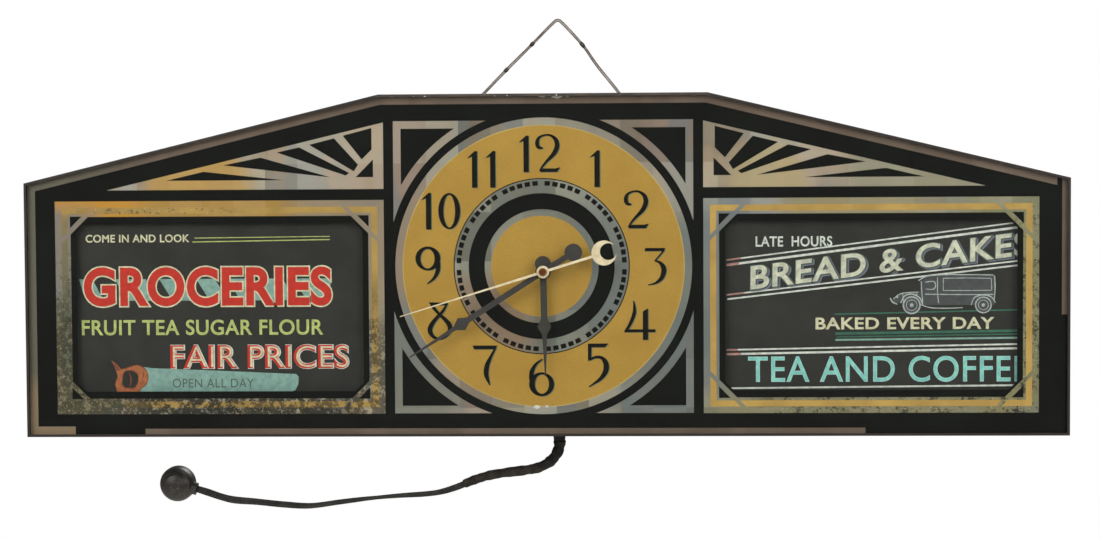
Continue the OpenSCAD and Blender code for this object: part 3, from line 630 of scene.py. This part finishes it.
# Each numeral as layers of outlines, drawn about its own middle.
figures = {
    "1": [[[(2.5, 17.5), (2.5, -17.5), (-2.5, -17.5), (-2.5, 12.4), (-7.4, 10.6), (0, 17.5)]]],
    "2": [[brush([(-4.1, 5.5, 1.5), (-8.2, 6.4, 3.4), (-9.4, 10.8, 3.8), (-7.6, 15.4, 2.4),
                  (-2.5, 17.8, 1.7), (3.2, 17.6, 2.2), (8.2, 13.7, 3.8), (9.6, 7.3, 4.5), (6.4, 0, 4),
                  (-0.5, -7.3, 2.4), (-5, -12.8, 1.8), (-6.9, -16.5, 1.6)])],
          [[(-7, -17.4), (9.6, -17.4), (12.4, -12.8), (8, -14), (-5, -14)]]],
    "3": [[[(-8.6, 18), (10.4, 18), (9.2, 15), (-9.4, 15)]],
          [brush([(9.4, 16.2, 1.6), (5.2, 11, 1.4), (0.6, 5.6, 1.4)])],
          [brush([(0.6, 5.6, 1.2), (5, 4.2, 2.6), (8.2, 0.4, 4.4), (9, -4.4, 4.8), (6.6, -11, 3.8),
                  (1, -15.6, 2), (-6.4, -17.4, 0.7)])]],
    "4": [[brush([(-5.5, 18.8, 0.8), (-4.6, 13, 2.4), (-4.9, 6.5, 3.4), (-8.7, -3.2, 3),
                  (-13.6, -11, 2.2)])],
          [[(-15, -11.4), (15, -11.4), (15.4, -8.6), (-12, -8.6)]],
          [[(3.4, -18.8), (8.3, -18.8), (8.3, 11.5), (3.4, 8.5)]]],
    "5": [[[(-9.6, 20.6), (10, 20.6), (6.5, 17), (-9, 17)]],
          [[(-9.6, 20), (-6.2, 20), (-6.4, 6), (-9.6, 3.5)]],
          [brush([(-8, 5, 2), (-2, 7.6, 2.4), (4, 6.5, 3.4), (7.6, 1, 5), (7.2, -6, 5), (2.5, -13, 3.4),
                  (-5, -18.5, 1.6), (-9, -21, 0.8)])]],
    "6": [[brush([(0.9, 17.9, 0.9), (-5.5, 12.8, 2.6), (-9.4, 5.5, 4.2), (-9.6, -2.7, 4.6)])],
          [circle(0, -6.4, 12, 48, 11.5), circle(0.3, -6.2, 6.8, 48, 9.3)]],
    "7": [[[(-12, 19), (12, 19), (9, 15.4), (-10.5, 15.4)]],
          [brush([(10.5, 17.2, 1.6), (6, 9, 2.6), (2, 0, 4.4), (1, -8, 4.6), (2.5, -14, 3),
                  (4.4, -19.2, 0.8)])]],
    "8": [[[(-10, 18), (8.5, 17.6), (8, 15), (-8.5, 15.6)]],
          [brush([(7.6, 16.6, 1.8), (3, 9, 2.6), (-3, 2.5, 3.4), (-8, -4.5, 4.4), (-9, -10, 4.4),
                  (-5.5, -15.4, 3), (1, -17.4, 2)])],
          [brush([(1, -17.4, 2), (7, -14, 2.6), (10, -8.5, 4), (9.4, -3.5, 4.4), (5, 2, 3.6), (0, 6.5, 2.6),
                  (-4, 11, 3), (-7.5, 15.6, 3)])]],
    "0": [[circle(0, 0, 10.5, 48, 17.3), circle(0, 0, 5.6, 48, 15.6)]]}
figures["9"] = [[[(-x, -z) for x, z in outline] for outline in layer] for layer in figures["6"]]
# The two-figure hours, with how far each figure stands to one side, and the numerals that were
# painted a little out of place, with how far across and up.
pairs = {10: [("1", -13.5), ("0", 6.4)], 11: [("1", -8.7), ("1", 8.7)], 12: [("1", -13.5), ("2", 6.5)]}
astray = {2: (-3, 0), 4: (0, 3), 6: (0, 2.5), 8: (-4, 3), 9: (0, 2.5)}
numeral_middle, numeral_radius, shade_offset = (-2.4, 162), 108.5, (0.9, -0.5)
numeral_layers, shade_layers = [[], [], []], [[], [], []]
for hour in range(1, 13):
    turn = math.radians(30 * hour)
    off = astray.get(hour, (0, 0))
    middle = (numeral_middle[0] + numeral_radius * math.sin(turn) + off[0],
              numeral_middle[1] + numeral_radius * math.cos(turn) + off[1])
    for figure, across in pairs.get(hour, [(str(hour), 0)]):
        for k, layer in enumerate(figures[figure]):
            for layers, (dx, dz) in ((numeral_layers, (0, 0)), (shade_layers, shade_offset)):
                layers[k] += [[(middle[0] + across + x + dx, middle[1] + z + dz) for x, z in outline]
                              for outline in layer]
cut_out("numerals", numeral_layers, *ink, black_ink)
shade_depth = (-82.62, -82.59)
cut_out("numeral_shading", shade_layers, *shade_depth,
        surface("grey_green_shade", "6f7358", "5f6350", 12, 0.6, 0.5, specular=0.2))


# ---- Window frames ----
# Round each window a silvered band carries a gold line, which a slanting silver bar crosses at
# each corner. The silver has gone yellow and orange at the top left and flaked along the bottoms.
frame_silver = {
    "left": aged_silver("left_frame_silvering", ("9c8b74", "8f7a5c", "b59a82", "7c8088"),
                        stains_and_reflections=[(-380, 226, 130, "bd8d34"), (-462, 222, 62, "d09026"),
                                (-470, 165, 48, "6f7a84"), (-470, 60, 55, "857c60"),
                                (-170, 222, 60, "9c8874")],
                        flaking=[(-420, 22, 100, 1.15), (-300, 18, 90, 1.15),
                                 (-200, 18, 80, 1.0), (-466, 120, 50, 0.3)]),
    "right": aged_silver("right_frame_silvering", ("9d9a92", "87837b", "b59f88", "868e9a"),
                         stains_and_reflections=[(300, 226, 60, "a3926a"), (470, 130, 90, "8a8358"),
                                 (300, 24, 130, "8f8660"), (157, 130, 70, "757a80")],
                         flaking=[(340, 22, 110, 0.35), (470, 100, 90, 0.35)])}
# Gold leaf size line: warmer and cleaner than the silver beside it.
line_gold = {"left": aged_silver("left_gold_line", ("c8a055", "a88548"), pours=False,
                                 stains_and_reflections=[(-459, 60, 60, "6d6f5c"), (-459, 130, 60, "5f665a")],
                                 flaking=[(-420, 30, 100, 0.9), (-250, 20, 110, 0.75),
                                          (-380, 220, 60, 0.2)]),
             "right": surface("right_gold_line", "cda457", "b58e48", 40, 0.7, 0.5, metal=0.2)}
low_x, high_x, low_z, high_z = 153, 471.3, 21.5, 227.3
band_width, line_start, line_stop, line_depth = 15, 6.3, 12.2, (-82.63, -82.59)


def inner_rectangle(inset, corner=0):
    """The right window frame's outline, drawn in from its outer edge."""
    return rectangle(low_x + inset, high_x - inset, low_z + inset, high_z - inset, corner)


bars, corners = [], []
for x, east in ((low_x, 1), (high_x, -1)):
    for z, north in ((low_z, 1), (high_z, -1)):
        bars.append([(x + east * a, z + north * b)
                     for a, b in ((6, 35.5), (6, 40.8), (40.8, 6), (35.5, 6))])
        corners.append([(x + east * a, z + north * b)
                        for a, b in ((14.6, 14.6), (25.6, 14.6), (14.6, 25.6))])
for side, hand in ((-1, "left"), (1, "right")):
    cut_out("window_band_" + hand, [mirrored(side, [inner_rectangle(0), inner_rectangle(band_width, 17)])],
            *silver, frame_silver[hand])
    cut_out("gold_line_" + hand, [mirrored(side, [inner_rectangle(line_start),
                                                  inner_rectangle(line_stop)])],
            *line_depth, line_gold[hand])
    cut_out("corner_bars_" + hand, [mirrored(side, bars)], *ink, frame_silver[hand])
    cut_out("corner_blacks_" + hand, [mirrored(side, corners)], *ink, black_enamel)


# ---- Advertising panels ----
# Each is a sheet of painted board that slides in from the end of the case, behind its window.
# The sign painter's enamels stand a little proud of the dark grey ground, whose grey haze is partly a painted
# reflection from the front glass.
ground_with_painted_haze = surface("charcoal_ground_painted_haze", "2b2a28", "34322f", 35, 0.8, 0.8, depth=0.02, specular=0.2)
# The ground's front, in millimetres before the rim at the wall, and the thickness and step of a coat.
panel_front, coat, coat_step = -77.2, 0.028, 0.03


def enamel(name, tone, worn, rough=0.5):
    """Brushed sign enamel, worn thin in small patches towards a second tone."""
    return surface(name, tone, worn, 5, 0.6, rough, depth=0.02)


cream, white = enamel("cream_enamel", "e2d9ba", "c0b797"), enamel("white_enamel", "e4e3dc", "bdbcb8")
red, orange = enamel("red_enamel", "cc220a", "b81e0a"), enamel("orange_enamel", "b9693a", "8f4f2d")
teal, lime = enamel("teal_enamel", "8aaba4", "75958e"), enamel("lime_enamel", "c3cb79", "a4ac64")
aqua, green = enamel("aqua_enamel", "8fd6cb", "74bdb8"), enamel("bottle_green_enamel", "2f6a55", "285748")
dark = enamel("dark_marking_enamel", "3f4a45", "55605a")
shadow_blue = enamel("shade_blue_enamel", "77798e", "5d5f70")
# The panels' dark grey ground, its haze partly a painted reflection from the front glass.
paint_nodes(ground_with_painted_haze, "ad_panel_left", "ad_panel_right")
# A folded zinc-plated strip to pull each panel out by.
paint_nodes(dull_zinc, "panel_pull_left", "panel_pull_right")


def art(name, hand, layers, depth, finish):
    """Flat painted shapes on one panel, depth being how many coats they stand above the ground."""
    front = panel_front - coat_step * (depth + 1)
    cut_out(name, layers, front, front + coat, finish, hand + "_panel", "panel_paint")


def lettering(name, hand, words, box, depth, finish, heavy=0.0, outline=0.0, lean=0.0, rise=0.0,
              shift=(0, 0)):
    """Plain words set to fill a box (left, right, bottom, top, in millimetres) on one panel.
    heavy thickens the strokes, and outline thickens them without changing their places. lean slants
    them, rise turns the line, in degrees, and shift moves it, in millimetres."""
    bpy.ops.object.select_all(action="DESELECT")
    bpy.ops.object.text_add(location=(0, 0, 0))
    piece = bpy.context.object
    piece.name = name
    piece.data.body = words
    piece.data.shear = lean
    piece.data.space_character = 1.06
    piece.data.resolution_u = 6
    piece.data.offset = heavy
    bpy.context.view_layer.update()
    corners = [Vector(corner) for corner in piece.bound_box]
    low_x, high_x = min(c.x for c in corners), max(c.x for c in corners)
    low_y, high_y = min(c.y for c in corners), max(c.y for c in corners)
    wide, tall = (box[1] - box[0]) / 1000 / (high_x - low_x), (box[3] - box[2]) / 1000 / (high_y - low_y)
    piece.data.offset = heavy + outline
    piece.data.extrude = coat / 2000
    bpy.ops.object.convert(target="MESH")
    front = panel_front - coat_step * (depth + 1)
    turn = math.radians(rise)
    piece.scale = (wide, tall, 1)
    piece.rotation_euler = (math.pi / 2, -turn, 0)
    corner = Vector((low_x * wide, 0, low_y * tall))
    turned = Vector((corner.x * math.cos(turn) - corner.z * math.sin(turn), 0,
                     corner.x * math.sin(turn) + corner.z * math.cos(turn)))
    piece.location = at(box[0] + shift[0], front + coat / 2, box[2] + shift[1]) - turned
    bpy.ops.object.transform_apply()
    closed(piece)
    paint(piece, finish)
    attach(piece, hand + "_panel")


def rule(x0, z0, x1, z1, thick):
    """A straight painted line from end to end."""
    return [(x0, z0 - thick / 2), (x1, z1 - thick / 2), (x1, z1 + thick / 2), (x0, z0 + thick / 2)]


# Left panel: words of no particular shop, with slanting teal blocks behind the heading.
lettering("small_cream_words", "left", "COME IN AND LOOK", (-443, -342, 187.4, 195), 0, cream, heavy=0.02)
art("lime_rules", "left", [[
    rule(-339, 187.6, -206, 189.4, 1.0), rule(-337, 191.4, -206, 192.4, 0.8)]], 0, lime)
art("teal_band", "left", [[[(-450, 152), (-437, 152), (-426, 131), (-441, 131), (-446, 138)],
                           [(-415, 152), (-385, 152), (-374, 131), (-404, 131)],
                           [(-372, 152), (-349, 152), (-336, 131), (-359, 131)],
                           [(-336, 152), (-318, 152), (-305, 131), (-323, 131)],
                           [(-306, 152), (-285, 152), (-273, 131), (-293, 131)],
                           [(-274, 152), (-252, 152), (-240, 131), (-262, 131)],
                           [(-241, 152), (-205, 152), (-207, 131), (-229, 131)]]], 0, teal)
for part, thicker, depth, finish in (("edge", 0.028, 1, cream), ("face", 0.0, 2, red)):
    lettering("red_heading_" + part, "left", "GROCERIES", (-445.5, -204.5, 125.5, 163.5), depth, finish,
              heavy=0.035, outline=thicker)
lettering("lime_words", "left", "FRUIT TEA SUGAR FLOUR", (-448, -213, 97.5, 112.5), 0, lime, heavy=0.018)
for part, thicker, depth, finish, shift in (
        ("edge", 0.018, 0, white, (0.6, 0)), ("face", 0.0, 1, red, (0, 0)),
        ("stripe", -0.046, 2, cream, (1.1, 0))):
    lettering("striped_words_" + part, "left", "FAIR PRICES", (-362, -189, 65, 88), depth, finish,
              heavy=0.03, outline=thicker, shift=shift)
# A hand saw: teal blade, narrower towards its rounded nose, and an orange handle with a grip hole.
art("saw_blade", "left", [[[
    (-388, 66.8), (-380, 65.6), (-330, 63.6), (-280, 61.4), (-240, 59.6), (-237.4, 57), (-237.8, 50),
    (-240.5, 44), (-246, 42.2), (-300, 41.6), (-360, 42.4), (-392, 42)]]], 0, teal)
lettering("saw_words", "left", "OPEN ALL DAY", (-360, -281, 46.6, 55.4), 1, dark)
handle = [(-419.7, 73.7), (-415.7, 65.3), (-413.5, 58), (-416.1, 50), (-414.2, 42.4), (-408.8, 40.5),
          (-394.9, 41.3), (-390.5, 46.4), (-385.4, 50.8), (-384, 58.8), (-386.9, 65), (-394.9, 68.6),
          (-403.7, 66.1), (-410.2, 64.6), (-414.6, 69.7)]
grip_hole = [(-408, 61), (-409.5, 50.8), (-406.6, 46.7), (-397.1, 46.7), (-393.8, 52.2), (-393.8, 59.5),
             (-398.6, 63.1), (-405.1, 63.1)]
art("saw_handle", "left", [[handle, grip_hole]], 1, orange)
rims = [[brush([(x, z, 0.9) for x, z in rim + rim[:1]], 3)] for rim in (handle, grip_hole)]
art("saw_handle_lines", "left", rims + [
    [brush([(-402.4, 61.5, 0.8), (-400.6, 55, 1.2), (-401.6, 48.4, 0.8)])],
    [brush([(-389, 62, 0.8), (-388.4, 58.6, 1.4), (-389.4, 55.6, 0.8)])]], 2,
    enamel("burnt_orange_enamel", "8a3f22", "70331c"))

# Right panel: slanting white rules with shaded words between, a delivery van, and ruled captions.
lettering("small_white_words", "right", "LATE  HOURS", (203, 276, 180.5, 190.5), 0, white, heavy=0.02)
art("white_rules", "right", [[
    rule(176, 168, 456, 203.2, 1.4), rule(176, 163.2, 456, 198.4, 2.2), rule(176, 134.6, 456, 166.4, 1.4),
    rule(176, 130.4, 456, 162.2, 1.6), rule(176, 81.7, 456, 86.6, 1.5), rule(176, 77.6, 456, 82.6, 2.0),
    rule(176, 44.8, 456, 47.2, 1.7)]], 0, white)
pink = enamel("faded_red_rule", "b98079", "a66a63")
art("rule_starts", "right", [[
    rule(175, 167.9, 189, 169.6, 1.3), rule(175, 163.1, 187, 164.6, 2), rule(175, 134.5, 192, 136.4, 1.2),
    rule(175, 81.7, 186, 81.9, 1.4), rule(175, 77.6, 189, 77.9, 1.8)]], 1, pink)
pearl = enamel("pearl_enamel", "dcd8c2", "b4b0a2")
for part, depth, finish, thicker, shift in (
        ("shade", 0, shadow_blue, 0.012, (1.5, -1.1)), ("edge", 1, dark, 0.02, (0, 0)),
        ("face", 2, pearl, -0.012, (-0.4, 0.3))):
    lettering("slanted_words_" + part, "right", "BREAD & CAKES", (198, 468, 138.5, 162), depth, finish,
              heavy=0.03, outline=thicker, lean=0.12, rise=7.0, shift=shift)
# The van is drawn in thin strokes of grey-white: bonnet, cab, box body, wings and spoked wheels.
front_wheel, rear_wheel = (351.5, 124), (419.5, 124)
van = [
    [brush([(331, 131, 1), (333.5, 127, 1.4), (338, 125, 1)]),
     brush([(334, 130, 0.8), (340, 134.5, 1.1), (347, 136, 1), (358, 136.5, 0.9)]),
     brush([(360, 124.5, 0.8), (370, 121.5, 1), (386, 121, 1), (400, 121.5, 0.8)])],
    [brush([(358, 147.5, 1.2), (366, 151.6, 1.2), (380, 153, 1), (405, 153, 1), (429, 152.6, 1)]),
     brush([(360.5, 147, 1), (361, 138, 1), (362, 126, 0.9)]),
     brush([(430, 152, 1.1), (430.6, 140, 1), (429.6, 128, 1)])],
    [brush([(376, 150.5, 0.9), (376, 138, 0.9), (377, 126, 0.9)]),
     brush([(364, 134.5, 0.9), (396, 134, 0.9), (429, 134, 0.9)]),
     brush([(381, 149.6, 0.7), (404, 149.8, 0.7), (427, 149.4, 0.7)])],
    [brush([(364.5, 146, 0.8), (373, 146.4, 0.8), (373, 139.6, 0.8), (364.8, 139.4, 0.8)]),
     brush([(381.5, 149, 0.7), (381.5, 138, 0.7)]), brush([(427, 149, 0.7), (427.4, 138, 0.7)]),
     brush([(381, 138, 0.7), (404, 137.8, 0.7), (427, 138, 0.7)])],
    [circle(*front_wheel, radius, 40) for radius in (8.6, 7.2, 5.4, 4.8)] + [circle(*front_wheel, 1.8, 24)]
    + [circle(*rear_wheel, radius, 40) for radius in (8.0, 6.8, 5, 4.4)] + [circle(*rear_wheel, 1.6, 24)],
    [brush([(341, 126, 1), (345, 133, 1.2), (352, 134.6, 1.3), (359, 131, 1.2), (362, 124.6, 1)]),
     brush([(408, 124, 1), (411, 131, 1.2), (419, 133.6, 1.3), (427, 131.6, 1.1), (431, 126, 0.9)])],
    [brush([(343, 135.4, 0.7), (343.6, 128, 0.7)]), brush([(350, 136, 0.6), (350.4, 135.2, 0.6)]),
     brush([(356, 136.4, 0.7), (356.6, 133, 0.7)]), brush([(336.5, 132.6, 1.8), (338.6, 131.4, 1.8)])]]
art("van_body", "right", [[[(333, 127), (335, 131.4), (346, 136), (359.5, 137), (361.5, 147.4), (368, 152),
                            (400, 153.2), (430, 152.4), (430, 124), (360, 124)]],
                          [circle(*front_wheel, 8.8, 40)], [circle(*rear_wheel, 8.2, 40)]], 0,
    enamel("mid_grey_enamel", "4a4a4c", "3e3e42"))
art("van_drawing", "right", van, 1, enamel("grey_white_enamel", "bcc0bf", "9a9fa0"))
art("green_rules", "right", [[rule(278, 115.6, 456, 119.4, 1.4), rule(279, 97, 456, 99.4, 2.4),
                              rule(280, 93.8, 456, 96.2, 1.2)]], 0, green)
art("teal_rules", "right", [[rule(279, 91, 456, 92.6, 1.8)]], 1, teal)
lettering("white_caption", "right", "BAKED EVERY DAY", (260, 430, 101, 112.5), 1, cream, heavy=0.024)
pale_aqua = enamel("pale_aqua_enamel", "c5dedb", "a3c2c2")
for part, thicker, depth, finish in (("edge", 0.014, 0, pale_aqua), ("face", 0.0, 1, aqua)):
    lettering("aqua_words_" + part, "right", "TEA AND COFFEE", (196, 462, 51, 75), depth, finish,
              heavy=-0.004, outline=thicker)


# ---- Lighting ----
# Behind each panel two frosted tubular lamps stand in moulded sockets on a steel bracket, in front
# of a white-painted reflector that also keeps their light off the movement.
# Flat white lacquer on sheet: matt, yellowed by the lamps' heat.
paint_nodes(surface("heat_yellowed_white", "ddd8c8", "cdc3a6", 60, 0.7, 0.75, depth=0.02),
            "light_baffle_left", "light_baffle_right")
paint_nodes(brown_phenolic, "lamp_sockets", "terminal_block")
paint_nodes(tarnished_brass, "bulb_bases", "terminal_screws")
# Frosted bulb glass: milky, with a soft sheen.
paint_nodes(surface("frosted_bulb_glass", "eeeae0", "e2dccc", 20, 0.3, 0.35, depth=0.01), "bulbs")
# Braided cotton over rubber: brown with a lighter fleck from the braid.
paint_nodes(surface("cotton_braid", "6a5636", "8a764e", 1.6, 0.5, 0.9, depth=0.1), "internal_wiring")


# ---- Clock movement ----
# A self-starting synchronous movement: lacquered brass plates and pressed wheels, a laminated yoke
# with its taped coil, and a sealed can of copper-plated steel that holds the rotor.
paint_nodes(tarnished_brass, "movement_bushing", "movement_nut", "front_plate", "back_plate",
            "plate_pillars", "rotor_pinion", "intermediate_wheel", "centre_wheel", "minute_arbor",
            "motion_wheel", "hour_wheel")
# Laminated silicon steel: blue-grey sheets about half a millimetre thick. Their edges are drawn as
# lines a millimetre apart, coarser than the real ones, so that they show.
yoke_steel = surface("laminated_steel", "5e6266", "4c4e50", 9, 0.4, 0.45, metal=1.0)
tree = yoke_steel.node_tree
sheets = add(tree, "TexWave", {"Vector": tree.nodes["Texture Coordinate"].outputs["Object"], "Scale": 320},
             bands_direction="Y")
stack = add(tree, "Bump", {"Height": sheets.outputs["Fac"], "Distance": 0.0001})
tree.links.new(stack.outputs[0], tree.nodes["Principled BSDF"].inputs["Normal"])
paint_nodes(yoke_steel, "stator_core")
# Varnished cotton tape: red-brown, with a coarse, uneven surface.
paint_nodes(surface("varnished_coil_tape", "7c3f25", "5f2e1b", 5, 0.6, 0.5, depth=0.1), "field_coil")
# Copper plate over steel: warm red-brown metal, dulled in patches.
copper_plate = surface("copper_plated_steel", "a5663f", "7d4a2f", 5, 0.35, 0.4, metal=1.0, depth=0.01)
paint_nodes(copper_plate, "rotor_can")
# Turned steel arbor, oiled grey.
paint_nodes(surface("oiled_steel", "a3a29e", "85837e", 6, 0.3, 0.3, metal=1.0), "second_arbor")
paint_nodes(brown_phenolic, "set_knob")


# ---- Hands ----
# Hour and minute hands are stamped from sheet and sprayed a flat dark grey; the second hand is a
# cream-lacquered needle with a crescent moon to balance it, held by a copper-plated cap.
paint_nodes(surface("flat_grey_hand_lacquer", "312f2a", "282621", 9, 0.5, 0.7, depth=0.01), "minute_hand")
paint_nodes(surface("flat_olive_hand_lacquer", "2e2c24", "26251e", 9, 0.5, 0.7, depth=0.01), "hour_hand")
paint_nodes(surface("cream_brass_lacquer", "dcd0ae", "c2b48e", 7, 0.4, 0.4, depth=0.01), "second_hand")
paint_nodes(copper_plate, "hub_cap")


# ---- Floor and light ----
# A pale floor 0.9 m below the sign, and soft light from two large panels in front and one behind.
# The white surround is dimmer for everything but the camera, so that the dark glass stays dark.
floor_below = 0.9
bpy.ops.object.select_all(action="DESELECT")
bpy.ops.mesh.primitive_plane_add(size=6, location=(0, 0, cad_bounds[0].z - floor_below))
floor = bpy.context.object
floor.name = "floor"
floor_finish = bpy.data.materials.new("pale_floor")
floor_finish.use_nodes = True
shader = floor_finish.node_tree.nodes["Principled BSDF"]
shader.inputs["Base Color"].default_value = rgb("dcdad6")
shader.inputs["Roughness"].default_value = 0.8
floor.data.materials.append(floor_finish)
surround = bpy.data.worlds.new("surround")
bpy.context.scene.world = surround
surround.use_nodes = True
tree = surround.node_tree
tree.nodes.clear()
seen = add(tree, "Background", {"Color": (1, 1, 1, 1), "Strength": 1.0})
dim = add(tree, "Background", {"Color": (1, 0.99, 0.97, 1), "Strength": 0.16})
ray = add(tree, "LightPath")
both = add(tree, "MixShader", {0: ray.outputs["Is Camera Ray"], 1: dim.outputs[0], 2: seen.outputs[0]})
add(tree, "OutputWorld", {"Surface": both.outputs[0]})
# Each light's place in metres, its power in watts and its side in metres.
for name, place, power, size in (
        ("key_light", (-1.7, -1.9, 1.3), 80, 2.4), ("fill_light", (1.9, -1.9, 1.0), 62, 2.4),
        ("back_light", (0.6, 2.2, 1.4), 40, 1.5)):
    lamp = bpy.data.objects.new(name, bpy.data.lights.new(name, "AREA"))
    bpy.context.scene.collection.objects.link(lamp)
    lamp.data.energy = power
    lamp.data.size = size
    lamp.location = place
    lamp.rotation_euler = (at(0, -40, 160) - lamp.location).to_track_quat("-Z", "Y").to_euler()
bpy.context.scene.view_settings.view_transform = "Standard"
